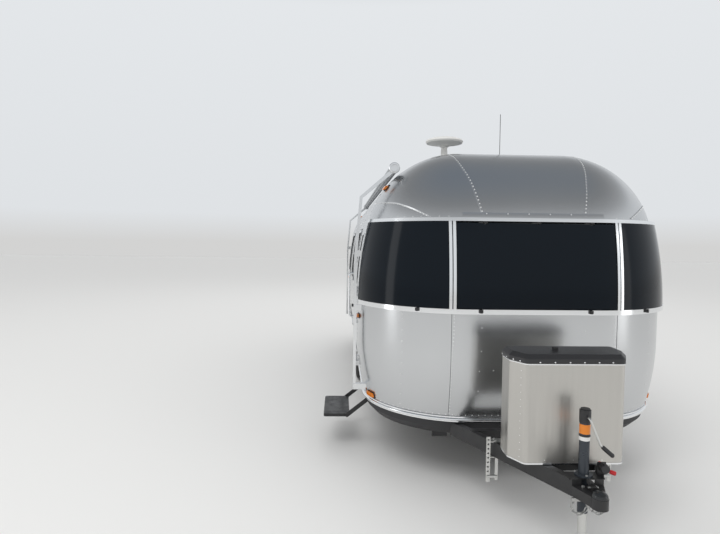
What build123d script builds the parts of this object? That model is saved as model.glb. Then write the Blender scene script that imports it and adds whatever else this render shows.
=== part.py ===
from build123d import *
import math
import os

os.makedirs("parts", exist_ok=True)

# Travel caravan, millimetres. The tow coupler points along -Y, the tail along +Y, the door
# side is -X, +Z is up. The origin is on the ground under the tongue jack, on the centre plane.

# Shell outline: a rectangle grown by one wall curve, so every corner is that curve turned
shell_half_width = 1289
corner_radius = 859
nose_y = 815
shell_length = 6720
sill_z = 534
wall = 45

# Wall curve: tucked-in foot, upright belt, leaning shoulder, round roof edge
sill_tuck = 78
belt_low_z = 1100
belt_high_z = 1340
roof_z = 2660
crown_inset = 56
crown_radius = corner_radius - crown_inset

# Windows
window_low_z = 1400
window_high_z = 2046
post_x = 624
post_width = 46
glass_thick = 5
glass_depth = 14
guard_thick = 5
rail_height = 26
rail_proud = 40
guard_offset = 31

# Floor, belly and wheels
floor_thick = 45
belly_low_z = 416
belly_chamfer = 60
axle_centre_y = nose_y + 3885
axle_spacing = 840
tyre_radius = 362
tyre_width = 222
rim_radius = 206
wheel_face_x = shell_half_width - 74
arch_margin = 95
well_wall = 4
arch_high_z = 925
beam_size = 76
beam_z = 460

# Tongue
rail_depth = 100
rail_width = 50
rail_top_z = 522
coupler_y = -205
tongue_apex_y = -190
tongue_front_y = -60
coupler_low_z = 424
coupler_top_z = 484
coupler_nose = 46
coupler_ball_radius = 30
tongue_half_angle = 27

# Tongue jack
jack_tube_radius = 30
jack_leg_radius = 25
jack_low_z = 300
jack_leg_top_z = 540
jack_head_z = 921
foot_radius = 75
foot_thick = 8

# Gas bottle box
box_front_y = 138
box_depth = 300
box_front_width = 612
box_back_width = 744
box_low_z = 525
box_high_z = 1150
box_side_depth = 175
box_corner = 38
box_skin = 3
lid_height = 55
lid_knob_x = -66
bottle_radius = 132
bottle_height = 470

# Door on the curb side
door_front_y = nose_y + 885
door_width = 660
door_low_z = 590
door_high_z = 2330
door_gap = 12
door_corner = 120
door_flange = 8
door_thick = 36
door_rebate = 20
hinge_proud = 9
hinge_radius = 7
hinge_length = 42
hinge_zs = (800, 1180, 1420)
door_window_low_z = 1480
door_window_high_z = 1960
door_window_margin = 130

# Side windows, each as (side, middle behind the nose, width); the side is -1 for the curb
side_window_low_z = 1450
side_window_high_z = 1985
side_windows = [(-1, nose_y + 2015, 640), (-1, nose_y + 2945, 640), (-1, nose_y + 4605, 900),
                (1, nose_y + 1385, 900), (1, nose_y + 2545, 640), (1, nose_y + 4805, 900)]
side_window_corner = 60
frame_width = 28
frame_proud = 8
rear_frame_width = 20
seat_gap = 0.4

# Awning along the curb side
awning_front_y = nose_y + 675
awning_rear_y = nose_y + shell_length - 1205
awning_roller_radius = 38
awning_roller_x = 289 - shell_half_width
awning_roller_z = roof_z - 152
awning_arm_x = -41 - shell_half_width
awning_arm_bend_z = 1760
awning_arm_shoulder_x = 1 - shell_half_width
awning_arm_shoulder_z = roof_z - 405
awning_arm_low_z = 620
awning_arm_width = 34
awning_arm_slot = 6
awning_arm_thick = 24

# Fold-out step below the door
step_pivot_x = 124 - shell_half_width
step_pivot_z = 470
step_arm_out = 215
step_arm_drop = 165
step_tread_depth = 235
step_tread_width = 560
step_tread_thick = 28
step_arm_width = 8

# Moving parts keep this far apart
clearance = 6

step_y = door_front_y + door_width / 2
arm_end_x = step_pivot_x - step_arm_out
arm_end_z = step_pivot_z - step_arm_drop
arm_ys = (step_y - step_tread_width / 2 - 10, step_y + step_tread_width / 2 + 10)
step_well_x = step_pivot_x + 285
step_pin_radius = 6

core_x = shell_half_width - corner_radius
core_front_y = nose_y + corner_radius
tail_y = nose_y + shell_length
shell_middle_y = (nose_y + tail_y) / 2
core_rear_y = tail_y - corner_radius
core_length = core_rear_y - core_front_y

# Wall curve centres, worked out so that each arc runs smoothly into the next
foot_rise = belt_low_z - sill_z
foot_radius_long = (foot_rise**2 + sill_tuck**2) / (2 * sill_tuck)
foot_centre = (corner_radius - foot_radius_long, belt_low_z)
crown_centre = (0, roof_z - crown_radius)
lean_rise = roof_z - crown_radius - belt_high_z
lean_radius = (corner_radius**2 + lean_rise**2 - crown_radius**2) / (2 * (corner_radius - crown_radius))
lean_centre = (corner_radius - lean_radius, belt_high_z)
lean_angle = math.degrees(math.atan2(lean_rise, lean_radius - corner_radius))


def wall_reach(z, offset=0.0):
    """How far the wall curve stands out from the core rectangle at a height."""
    if z < belt_low_z:
        return foot_centre[0] + math.sqrt((foot_radius_long + offset) ** 2 - (belt_low_z - z) ** 2)
    if z <= belt_high_z:
        return corner_radius + offset
    reach = lean_centre[0] + math.sqrt((lean_radius + offset) ** 2 - (z - belt_high_z) ** 2)
    tangent_z = crown_centre[1] + (crown_radius + offset) * math.sin(math.radians(lean_angle))
    if z <= tangent_z:
        return reach
    return math.sqrt((crown_radius + offset) ** 2 - (z - crown_centre[1]) ** 2)


def curve_lines(offset):
    """The wall curve, drawn that far outside the shell's skin."""
    low_angle = math.degrees(math.asin(foot_rise / (foot_radius_long + offset)))
    CenterArc(foot_centre, foot_radius_long + offset, -low_angle, low_angle)
    Line((corner_radius + offset, belt_low_z), (corner_radius + offset, belt_high_z))
    CenterArc(lean_centre, lean_radius + offset, 0, lean_angle)
    CenterArc(crown_centre, crown_radius + offset, lean_angle, 90 - lean_angle)


def skin_sketch(plane, outer, inner):
    """The section of a skin between two offsets of the wall curve."""
    with BuildSketch(plane) as section:
        with BuildLine():
            curve_lines(outer)
            curve_lines(inner)
            Line((wall_reach(sill_z, outer), sill_z), (wall_reach(sill_z, inner), sill_z))
            Line((0, roof_z + outer), (0, roof_z + inner))
        make_face()
    return section


def round_end(section, rear=False):
    """A section swept across a whole rounded end of the shell and round its two corners."""
    y = core_rear_y if rear else core_front_y
    toward = 1 if rear else -1
    with BuildPart() as swept:
        middle = Plane(origin=(0, y, 0), x_dir=(0, toward, 0), z_dir=(toward, 0, 0))
        extrude(section(middle).sketch, amount=core_x, both=True)
        for side in (1, -1):
            corner = Plane(origin=(side * core_x, y, 0), x_dir=(0, toward, 0), z_dir=(toward, 0, 0))
            turn = Axis((side * core_x, y, 0), (0, 0, -side * toward))
            revolve(section(corner).sketch, axis=turn, revolution_arc=90)
    return swept


def along_side(section, side, start_y, end_y):
    """A section run along a straight side of the shell."""
    with BuildPart() as swept:
        plane = Plane(origin=(side * core_x, end_y, 0), x_dir=(side, 0, 0), z_dir=(0, -side, 0))
        extrude(section(plane).sketch, amount=side * (end_y - start_y))
    return swept


def end_skin(outer, inner, rear=False):
    """A whole rounded end of the shell, between two offsets of its skin."""
    return round_end(lambda plane: skin_sketch(plane, outer, inner), rear)


def side_skin(outer, inner, side, start_y=core_front_y, end_y=core_rear_y):
    """A straight side of the shell, from the sill up over the roof's edge."""
    return along_side(lambda plane: skin_sketch(plane, outer, inner), side, start_y, end_y)


def box_between(one, other, mode=Mode.ADD):
    """A block from one corner to the opposite one, in whichever order they are given."""
    centre = [(a + b) / 2 for a, b in zip(one, other)]
    size = [abs(b - a) for a, b in zip(one, other)]
    with Locations(tuple(centre)):
        Box(*size, mode=mode)


def finish_part(builder, name):
    builder.part.label = name
    export_step(builder.part, f"parts/{name}.step")


big = 9000

# Front end: the lower panel below the windows, and the domed cap that holds them
front_end = end_skin(0, -wall)
window_split_z = window_low_z - rail_height - 10
rail_top_split_z = window_high_z + rail_height
window_end_y = nose_y + 615

with BuildPart() as front_openings:
    half = post_x - post_width / 2
    box_between((-half, -big, window_low_z), (half, core_front_y - wall, window_high_z))
    for side in (1, -1):
        low_x, high_x = sorted((side * (post_x + post_width / 2), side * big))
        box_between((low_x, -big, window_low_z), (high_x, window_end_y, window_high_z))

with BuildPart() as front_lower:
    add(front_end.part)
    box_between((-big, -big, window_split_z), (big, big, big), mode=Mode.SUBTRACT)
finish_part(front_lower, "front_lower_panel")

with BuildPart() as front_cap:
    add(front_end.part)
    box_between((-big, -big, 0), (big, big, window_split_z), mode=Mode.SUBTRACT)
    add(front_openings.part, mode=Mode.SUBTRACT)
finish_part(front_cap, "front_cap")

glass_inner = -glass_depth - glass_thick
with BuildPart() as front_glass:
    add(end_skin(-glass_depth, glass_inner).part)
    add(front_openings.part, mode=Mode.INTERSECT)

# The tail has the same two panels, mirrored
middle_plane = Plane(origin=(0, shell_middle_y, 0), z_dir=(0, 1, 0))
for front_part, name in ((front_lower, "rear_lower_panel"), (front_cap, "rear_cap")):
    with BuildPart() as rear_part:
        add(mirror(front_part.part, about=middle_plane, mode=Mode.PRIVATE))
    finish_part(rear_part, name)

# Bright rails above and below the front windows, and the posts between them
with BuildPart() as rail_skin:
    add(end_skin(rail_proud, seat_gap).part)
    box_between((-big, -big, 0), (big, big, window_split_z), mode=Mode.SUBTRACT)
    box_between((-big, -big, rail_top_split_z), (big, big, big), mode=Mode.SUBTRACT)
    box_between((-big, window_end_y + 20, 0), (big, big, big), mode=Mode.SUBTRACT)
with BuildPart() as rail_gaps:
    half = post_x - post_width / 2 - 2
    outer_half = post_x + post_width / 2 + 2
    box_between((-half, -big, window_low_z), (half, big, window_high_z))
    for side in (1, -1):
        low_x, high_x = sorted((side * outer_half, side * big))
        box_between((low_x, -big, window_low_z), (high_x, big, window_high_z))
        low_x, high_x = sorted((side * (post_x - 4), side * (post_x + 4)))
        box_between((low_x, -big, window_low_z), (high_x, big, window_high_z))

# Smoked stone guards, standing off the glass between the rails
guard_inner = guard_offset
guard_outer = guard_inner + guard_thick
guard_skin = end_skin(guard_outer, guard_inner)
with BuildPart() as guard_areas:
    for side in (1, -1):
        low_x, high_x = sorted((side * (outer_half + 1), side * big))
        box_between((low_x, -big, window_low_z), (high_x, window_end_y + 20, window_high_z))
with BuildPart() as corner_guards:
    add(guard_skin.part)
    add(guard_areas.part, mode=Mode.INTERSECT)
finish_part(corner_guards, "corner_guards")

guard_top_z = window_high_z - clearance - 8
guard_axis_z = guard_top_z + 4
guard_axis_y = core_front_y - wall_reach(guard_axis_z, (guard_inner + guard_outer) / 2)
guard_knuckle_radius = 5
guard_knuckle_length = 30
guard_knuckle_xs = (-400, 0, 400)


def guard_knuckle(x, low_z, high_z):
    """One knuckle of the guard's hinge, with its leaf."""
    with Locations(Location((x, guard_axis_y, guard_axis_z), (0, 90, 0))):
        Cylinder(guard_knuckle_radius, guard_knuckle_length)
    box_between((x - guard_knuckle_length / 2, guard_axis_y - 2, low_z),
                (x + guard_knuckle_length / 2, guard_axis_y + 2, high_z))


with BuildPart() as centre_guard:
    add(guard_skin.part)
    half = post_x - post_width / 2 - 2 - clearance
    box_between((-half, -big, window_low_z + clearance), (half, core_front_y - wall, guard_top_z),
                mode=Mode.INTERSECT)
    for x in guard_knuckle_xs:
        guard_knuckle(x - guard_knuckle_length / 2 - 3, guard_top_z - 6, guard_axis_z)
        box_between((x - 2, -big, guard_top_z - 8), (x + guard_knuckle_length + 8, core_front_y - wall, big),
                    mode=Mode.SUBTRACT)
finish_part(centre_guard, "centre_guard")

# Rails with the fixed knuckles of the guard's hinge
with BuildPart() as window_rails:
    add(rail_skin.part)
    add(rail_gaps.part, mode=Mode.SUBTRACT)
    for x in guard_knuckle_xs:
        guard_knuckle(x + guard_knuckle_length / 2 + 3, guard_axis_z, window_high_z + 2)
finish_part(window_rails, "window_rails")

# Latches on the lower rail that hold the guards, each as (x, wrap-round guard or not)
latch_places = [(-423, False), (390, False), (-870, True), (870, True)]
with BuildPart() as guard_latches:
    for x, wraps in latch_places:
        side = 1 if x > 0 else -1
        reach = wall_reach(window_low_z, rail_proud)
        turn = math.asin((abs(x) - core_x) / reach) if wraps else 0
        latch_y = core_front_y - reach * math.cos(turn)
        with Locations(Location((x, latch_y, window_low_z - 13), (0, 0, side * math.degrees(turn)))):
            Box(30, 24, 22)
            with Locations((0, -12, 0)):
                Box(16, 12, 26)
    add(end_skin(rail_proud, -wall).part, mode=Mode.SUBTRACT)
finish_part(guard_latches, "guard_latches")

# Side walls with their windows, wheel arches and, on the curb side, the doorway
arch_front_y = axle_centre_y - axle_spacing / 2 - tyre_radius - arch_margin
arch_rear_y = axle_centre_y + axle_spacing / 2 + tyre_radius + arch_margin
arch_corner = 260
side_plane = Plane(origin=(0, 0, 0), x_dir=(0, 1, 0), z_dir=(1, 0, 0))


def side_prism(side, low_y, low_z, high_y, high_z, corner):
    """A block with rounded corners that passes through one side wall only."""
    with BuildPart() as prism:
        with BuildSketch(side_plane):
            with Locations(((low_y + high_y) / 2, (low_z + high_z) / 2)):
                RectangleRounded(high_y - low_y, high_z - low_z, corner)
        extrude(amount=side * 2 * shell_half_width)
    return prism


def window_prism(side, middle_y, width, grow=0.0):
    return side_prism(side, middle_y - width / 2 - grow, side_window_low_z - grow,
                      middle_y + width / 2 + grow, side_window_high_z + grow, side_window_corner + grow)


doorway = side_prism(-1, door_front_y, door_low_z, door_front_y + door_width, door_high_z, door_corner)
wall_names = {1: "street", -1: "curb"}
side_panes = []
for side in (1, -1):
    with BuildPart() as side_wall:
        add(side_skin(0, -wall, side).part)
        for window_side, middle_y, width in side_windows:
            if window_side == side:
                add(window_prism(side, middle_y, width).part, mode=Mode.SUBTRACT)
        add(side_prism(side, arch_front_y, -arch_corner, arch_rear_y, arch_high_z, arch_corner).part,
            mode=Mode.SUBTRACT)
        if side == -1:
            add(doorway.part, mode=Mode.SUBTRACT)
            for z in hinge_zs:
                with Locations((-shell_half_width - hinge_proud, door_front_y, z)):
                    Cylinder(hinge_radius, hinge_length)
                box_between((-shell_half_width - hinge_proud - 3, door_front_y - 22, z - hinge_length / 2),
                            (-shell_half_width + 40, door_front_y - 3, z + hinge_length / 2))
                box_between((-shell_half_width - hinge_proud - 3, door_front_y - 4, z - hinge_length / 2),
                            (-shell_half_width - hinge_proud + 3, door_front_y, z + hinge_length / 2))
    finish_part(side_wall, f"{wall_names[side]}_wall")
    with BuildPart() as side_openings:
        for window_side, middle_y, width in side_windows:
            if window_side == side:
                add(window_prism(side, middle_y, width).part)
    with BuildPart() as side_glass:
        add(side_skin(-glass_depth, glass_inner, side).part)
        add(side_openings.part, mode=Mode.INTERSECT)
    side_panes.append(side_glass.part)


with BuildPart() as window_glass:
    add(front_glass.part)
    add(mirror(front_glass.part, about=middle_plane, mode=Mode.PRIVATE))
    for panes in side_panes:
        add(panes)
finish_part(window_glass, "window_glass")


def window_frame(side, middle_y, width):
    with BuildPart() as frame:
        add(side_skin(frame_proud, seat_gap, side, middle_y - width, middle_y + width).part)
        add(window_prism(side, middle_y, width, frame_width).part, mode=Mode.INTERSECT)
        add(window_prism(side, middle_y, width).part, mode=Mode.SUBTRACT)
    return frame


rear_pane_start_y = 2 * shell_middle_y - window_end_y
rear_panes = [(post_width / 2 - post_x, post_x - post_width / 2, 0)]
rear_panes += [(side * (post_x + post_width / 2), side * big, rear_pane_start_y) for side in (1, -1)]
with BuildPart() as rear_frame_places:
    for one_x, other_x, start_y in rear_panes:
        low_x, high_x = sorted((one_x, other_x))
        box_between((low_x - rear_frame_width, max(start_y - rear_frame_width, core_rear_y),
                     window_low_z - rear_frame_width),
                    (high_x + rear_frame_width, big, window_high_z + rear_frame_width))
with BuildPart() as rear_frames:
    add(end_skin(frame_proud, seat_gap, rear=True).part)
    add(rear_frame_places.part, mode=Mode.INTERSECT)
    for one_x, other_x, start_y in rear_panes:
        low_x, high_x = sorted((one_x, other_x))
        box_between((low_x, max(start_y, 0), window_low_z), (high_x, big, window_high_z), mode=Mode.SUBTRACT)

with BuildPart() as window_frames:
    for side, middle_y, width in side_windows:
        add(window_frame(side, middle_y, width).part)
    add(rear_frames.part)
finish_part(window_frames, "window_frames")

# Door: a skin flange over a thicker core, so that its inner edge clears the frame as it swings
door_low_y = door_front_y + door_gap
door_high_y = door_front_y + door_width - door_gap
door_window = side_prism(-1, door_low_y + door_window_margin, door_window_low_z,
                         door_high_y - door_window_margin, door_window_high_z, 50)
with BuildPart() as door_outline:
    add(side_skin(0, -door_flange, -1, door_front_y, door_front_y + door_width).part)
    add(side_prism(-1, door_low_y, door_low_z + door_gap, door_high_y, door_high_z - door_gap,
                   door_corner - door_gap).part, mode=Mode.INTERSECT)
with BuildPart() as door_core:
    add(side_skin(-door_flange, -door_thick, -1, door_front_y, door_front_y + door_width).part)
    add(side_prism(-1, door_low_y + door_rebate, door_low_z + door_gap + door_rebate,
                   door_high_y - door_rebate, door_high_z - door_gap - door_rebate,
                   door_corner - door_gap - door_rebate).part, mode=Mode.INTERSECT)
with BuildPart() as door:
    add(door_outline.part)
    add(door_core.part)
    add(door_window.part, mode=Mode.SUBTRACT)
    for z in hinge_zs:
        knuckle_z = z + hinge_length + 1
        with Locations((-shell_half_width - hinge_proud, door_front_y, knuckle_z)):
            Cylinder(hinge_radius, hinge_length)
        box_between((-shell_half_width - hinge_proud - 3, door_front_y, knuckle_z - hinge_length / 2),
                    (-shell_half_width - 2, door_front_y + 45, knuckle_z + hinge_length / 2))
        box_between((-shell_half_width - hinge_proud - 3, door_front_y + clearance, knuckle_z - hinge_length / 2),
                    (-shell_half_width + 26, door_front_y + 45, knuckle_z + hinge_length / 2))
finish_part(door, "door")
with BuildPart() as door_glass:
    add(side_skin(-glass_depth, glass_inner, -1, door_front_y, door_front_y + door_width).part)
    add(door_window.part, mode=Mode.INTERSECT)
finish_part(door_glass, "door_glass")
with BuildPart() as door_handle:
    box_between((-shell_half_width - 12, door_high_y - 95, 1180), (-shell_half_width + 2, door_high_y - 35, 1320))
    box_between((-shell_half_width - 40, door_high_y - 80, 1235), (-shell_half_width - 12, door_high_y - 50, 1262))
    add(door.part, mode=Mode.SUBTRACT)
finish_part(door_handle, "door_handle")

# Roof panel between the two rounded edges
with BuildPart() as roof_panel:
    box_between((-core_x, core_front_y, roof_z - wall), (core_x, core_rear_y, roof_z))
finish_part(roof_panel, "roof_panel")

# Floor and belly, both cut away for the wheels
tyre_inner_x = wheel_face_x - tyre_width
plate_x = tyre_inner_x - 24
arm_inner_x = plate_x - 45
well_inner_x = arm_inner_x - 20
sill_half_width = core_x + wall_reach(sill_z)
sill_corner = wall_reach(sill_z)


def plan_slab(half_width, corner, low_z, high_z):
    """A slab with the shell's rounded plan."""
    with BuildPart() as slab:
        with BuildSketch(Plane.XY.offset(low_z)):
            with Locations((0, shell_middle_y)):
                RectangleRounded(2 * half_width, core_length + 2 * corner, corner - 0.01)
        extrude(amount=high_z - low_z)
    return slab


with BuildPart() as floor:
    floor_corner = wall_reach(sill_z, -wall) - seat_gap
    add(plan_slab(core_x + floor_corner, floor_corner, sill_z, sill_z + floor_thick).part)
    for side in (1, -1):
        low_x, high_x = sorted((side * well_inner_x, side * big))
        box_between((low_x, arch_front_y, 0), (high_x, arch_rear_y, big), mode=Mode.SUBTRACT)
finish_part(floor, "floor")

belly_half = sill_half_width - 15
axle_ys = (axle_centre_y - axle_spacing / 2, axle_centre_y + axle_spacing / 2)
arm_reach = 150
channel_clearance = 20
with BuildPart() as belly_pan:
    add(plan_slab(belly_half, sill_corner - 15, belly_low_z, sill_z).part)
    chamfer(belly_pan.edges().group_by(Axis.Z)[0], belly_chamfer)
    for side in (1, -1):
        low_x, high_x = sorted((side * well_inner_x, side * big))
        box_between((low_x, arch_front_y, 0), (high_x, arch_rear_y, big), mode=Mode.SUBTRACT)
    for y in axle_ys:
        beam_y = y - arm_reach
        box_between((-big, beam_y - beam_size / 2 - channel_clearance, 0),
                    (big, beam_y + beam_size / 2 + channel_clearance, beam_z + beam_size / 2),
                    mode=Mode.SUBTRACT)
    box_between((-big, arm_ys[0] - 24, 0), (step_well_x, arm_ys[1] + 24, step_pivot_z + 36), mode=Mode.SUBTRACT)
finish_part(belly_pan, "belly_pan")

# Wheel well liners inside the cabin
with BuildPart() as wheel_wells:
    for side in (1, -1):
        outer_x = core_x + wall_reach(arch_high_z, -wall) - 30
        low_x, high_x = sorted((side * well_inner_x, side * outer_x))
        box_between((low_x, arch_front_y, sill_z), (high_x, arch_rear_y, arch_high_z + 20))
        low_x, high_x = sorted((side * (well_inner_x + well_wall), side * big))
        box_between((low_x, arch_front_y + well_wall, 0), (high_x, arch_rear_y - well_wall, arch_high_z + 16),
                    mode=Mode.SUBTRACT)
    add(side_skin(0, -wall - 0.5, 1).part, mode=Mode.SUBTRACT)
    add(side_skin(0, -wall - 0.5, -1).part, mode=Mode.SUBTRACT)
finish_part(wheel_wells, "wheel_wells")

# Rounded rub rail along the sill, all the way round
rub_height = 40
rub_proud = 19


def rub_section(plane):
    """The rub rail's section: two lips with a half-round bead between them."""
    reach = wall_reach(sill_z + rub_height, seat_gap)
    with BuildSketch(plane) as section:
        with BuildLine():
            lip = reach + 7
            bead_low_z, bead_high_z = sill_z + 8, sill_z + rub_height - 8
            Polyline((reach - 20, sill_z), (lip, sill_z), (lip, bead_low_z))
            ThreePointArc((lip, bead_low_z), (reach + rub_proud, (bead_low_z + bead_high_z) / 2), (lip, bead_high_z))
            Polyline((lip, bead_high_z), (lip, sill_z + rub_height), (reach - 20, sill_z + rub_height), (reach - 20, sill_z))
        make_face()
    return section


with BuildPart() as rub_rail:
    add(round_end(rub_section).part)
    add(round_end(rub_section, rear=True).part)
    for side in (1, -1):
        add(along_side(rub_section, side, core_front_y, core_rear_y).part)
    for rear in (False, True):
        add(end_skin(seat_gap, -wall, rear).part, mode=Mode.SUBTRACT)
    for side in (1, -1):
        add(side_skin(seat_gap, -wall, side).part, mode=Mode.SUBTRACT)
    box_between((-big, arch_front_y, 0), (big, arch_rear_y, big), mode=Mode.SUBTRACT)
finish_part(rub_rail, "rub_rail")

# Two torsion axles with trailing arms, backing plates and spindles
spindle_radius = 22
with BuildPart() as axles:
    for y in axle_ys:
        beam_y = y - arm_reach
        box_between((-arm_inner_x, beam_y - beam_size / 2, beam_z - beam_size / 2),
                    (arm_inner_x, beam_y + beam_size / 2, beam_z + beam_size / 2))
        for side in (1, -1):
            with BuildSketch(Plane(origin=(side * arm_inner_x, 0, 0), x_dir=(0, 1, 0), z_dir=(1, 0, 0))):
                with BuildLine():
                    Polyline((beam_y - 32, beam_z - 30), (beam_y - 32, beam_z + 36), (beam_y + 30, beam_z + 36),
                             (y + 38, tyre_radius + 30), (y + 38, tyre_radius - 36), (y - 30, tyre_radius - 36),
                             close=True)
                make_face()
            extrude(amount=side * 33)
            spindle = Plane(origin=(side * (plate_x - 12), y, tyre_radius), z_dir=(side, 0, 0))
            with BuildSketch(spindle):
                Circle(150)
            extrude(amount=8)
            with BuildSketch(spindle):
                Circle(spindle_radius)
            extrude(amount=150)
finish_part(axles, "axles")

# Wheels: the tyre and the rim share a body, built once with the outer face towards +X
wheel_names = {(-1, 0): "curb_front", (-1, 1): "curb_rear", (1, 0): "street_front", (1, 1): "street_rear"}
bead_radius = rim_radius
tyre_sides = 40
tyre_shoulder = 30
tyre_bead = 14
with BuildPart() as tyre_form:
    with BuildSketch(Plane.YZ):
        RegularPolygon(tyre_radius, tyre_sides)
        RegularPolygon(bead_radius + 0.5, tyre_sides, major_radius=False, mode=Mode.SUBTRACT)
    extrude(amount=tyre_width)
    for face in (tyre_form.faces().sort_by(Axis.X)[0], tyre_form.faces().sort_by(Axis.X)[-1]):
        chamfer(face.outer_wire().edges(), tyre_shoulder)
        inner_edges = [edge for wire in face.inner_wires() for edge in wire.edges()]
        chamfer(inner_edges, tyre_bead)
    for face in (tyre_form.faces().sort_by(Axis.X)[0], tyre_form.faces().sort_by(Axis.X)[-1]):
        chamfer(face.outer_wire().edges(), tyre_shoulder / 3)

slot_count = 8
with BuildPart() as rim_form:
    with BuildSketch(Plane.XY):
        with BuildLine():
            Polyline((40, spindle_radius + seat_gap), (130, spindle_radius + seat_gap), (130, 0), (196, 0),
                     (193, 22), (176, 30), (176, 60), (166, 66),
                     (182, 110), (182, 168), (205, bead_radius - 10), (208, bead_radius), (12, bead_radius),
                     (12, bead_radius - 12), (150, bead_radius - 16), (162, 160), (150, 70), (40, 70), close=True)
        make_face()
    revolve(axis=Axis.X)
    with BuildSketch(Plane.YZ.offset(100)):
        with PolarLocations(139, slot_count):
            SlotOverall(56, 34, rotation=90)
    extrude(amount=tyre_width, mode=Mode.SUBTRACT)
    with BuildSketch(Plane.YZ.offset(174)):
        with PolarLocations(44, 6):
            RegularPolygon(9, 6)
    extrude(amount=14)

for (side, row), name in wheel_names.items():
    place = Location((side * tyre_inner_x, axle_ys[row], tyre_radius), (0, 0, 0 if side > 0 else 180))
    for form, kind in ((tyre_form, "tyre"), (rim_form, "rim")):
        with BuildPart() as wheel_part:
            add(form.part.moved(place))
        finish_part(wheel_part, f"{kind}_{name}")

# Tongue: two angled rails, a cross member, the jack plate and the bottle tray
slope = math.tan(math.radians(tongue_half_angle))
edge = rail_width / 2 / math.cos(math.radians(tongue_half_angle))
rail_low_z = rail_top_z - rail_depth


def rail_x(y):
    return slope * (y - tongue_apex_y)


with BuildPart() as tongue_rails:
    rear_y = nose_y + 400
    for side in (1, -1):
        with BuildSketch(Plane.XY.offset(rail_low_z)):
            with BuildLine():
                Polyline((side * (rail_x(tongue_front_y) - edge), tongue_front_y),
                         (side * (rail_x(tongue_front_y) + edge), tongue_front_y),
                         (side * (rail_x(rear_y) + edge), rear_y), (side * (rail_x(rear_y) - edge), rear_y),
                         close=True)
            make_face()
        extrude(amount=rail_depth)
    for y, half_depth in ((box_front_y + 60, 22), (box_front_y + box_depth - 50, 22), (nose_y - 60, 30)):
        box_between((-rail_x(y), y - half_depth, rail_top_z - 52), (rail_x(y), y + half_depth, box_low_z))
    box_between((-rail_x(0) - 10, -48, rail_top_z - 8), (rail_x(0) + 10, 48, rail_top_z))
    with Locations((0, 0, rail_top_z)):
        Cylinder(jack_tube_radius + 0.5, 200, mode=Mode.SUBTRACT)
    add(belly_pan.part, mode=Mode.SUBTRACT)
    box_between((-big, nose_y + 100 + 15, 0), (big, big, belly_low_z + belly_chamfer), mode=Mode.SUBTRACT)
finish_part(tongue_rails, "tongue_rails")

# Coupler with its ball socket, latch lever and chain eyes
with BuildPart() as coupler:
    with BuildSketch(Plane.XY.offset(coupler_low_z)):
        with BuildLine():
            back = rail_x(tongue_front_y) + edge
            Polyline((-back, tongue_front_y), (back, tongue_front_y), (coupler_nose - 6, coupler_y),
                     (6 - coupler_nose, coupler_y), close=True)
        make_face()
        with Locations((0, coupler_y)):
            Circle(coupler_nose)
    extrude(amount=coupler_top_z - coupler_low_z)
    with Locations((0, coupler_y, coupler_top_z)):
        Cylinder(coupler_nose - 4, 21, align=(Align.CENTER, Align.CENTER, Align.MIN))
    fillet(coupler.edges().group_by(Axis.Z)[-1], 15)
    with Locations((0, coupler_y, coupler_low_z + 21)):
        Cylinder(coupler_ball_radius, 42, mode=Mode.SUBTRACT)
    box_between((-14, -150, coupler_top_z), (14, -96, coupler_top_z + 30))
    box_between((-10, -118, coupler_top_z + 20), (10, -62, coupler_top_z + 42))
finish_part(coupler, "coupler")

# Tongue jack: outer tube with its head, the leg that slides in it and the crank
with BuildPart() as jack_housing:
    with BuildSketch(Plane.XY.offset(jack_low_z)):
        Circle(jack_tube_radius)
        Circle(jack_leg_radius + 1, mode=Mode.SUBTRACT)
    extrude(amount=jack_head_z - 70 - jack_low_z)
    with BuildSketch(Plane.XY.offset(jack_head_z - 70)):
        Circle(jack_tube_radius + 3)
    extrude(amount=62)
    with BuildSketch(Plane.XY.offset(jack_head_z - 8)):
        Circle(jack_tube_radius - 4)
    extrude(amount=8)
    with BuildSketch(Plane.XY.offset(rail_top_z)):
        Circle(jack_tube_radius + 22)
        Circle(jack_leg_radius + 1, mode=Mode.SUBTRACT)
    extrude(amount=10)
finish_part(jack_housing, "jack_housing")

with BuildPart() as jack_leg:
    with BuildSketch(Plane.XY):
        Circle(foot_radius)
    extrude(amount=foot_thick)
    with BuildSketch(Plane.XY.offset(foot_thick)):
        Circle(foot_radius - 22)
    extrude(amount=10, taper=35)
    with BuildSketch(Plane.XY.offset(foot_thick)):
        Circle(jack_leg_radius)
    extrude(amount=jack_leg_top_z - foot_thick)
finish_part(jack_leg, "jack_leg")

with BuildPart() as jack_crank:
    crank_z = jack_head_z - 45
    front = jack_tube_radius + 3 + seat_gap
    with BuildLine() as crank_path:
        FilletPolyline((0, -front, crank_z), (0, -front - 30, crank_z), (64, -front - 32, crank_z - 152),
                       (134, -front - 34, crank_z - 212), radius=13)
    with BuildSketch(Plane(origin=(0, -front, crank_z), z_dir=(0, -1, 0))):
        Circle(6.5)
    sweep(path=crank_path.line)
finish_part(jack_crank, "jack_crank")

# Gas bottle box: a folded aluminium wrap on a tray, a black lid and two bottles
box_back_y = box_front_y + box_depth


def box_prism(inset, bottom_z, height):
    """The box's plan, a trapezoid with rounded corners, as a prism."""
    with BuildPart() as prism:
        with BuildSketch(Plane.XY.offset(bottom_z)) as plan:
            with BuildLine():
                Polyline((-box_front_width / 2, box_front_y), (box_front_width / 2, box_front_y),
                         (box_back_width / 2, box_back_y - box_side_depth), (box_back_width / 2, box_back_y),
                         (-box_back_width / 2, box_back_y), (-box_back_width / 2, box_back_y - box_side_depth),
                         close=True)
            make_face()
            fillet(plan.vertices(), box_corner)
            offset(amount=-inset, mode=Mode.REPLACE)
        extrude(amount=height)
    return prism


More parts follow.
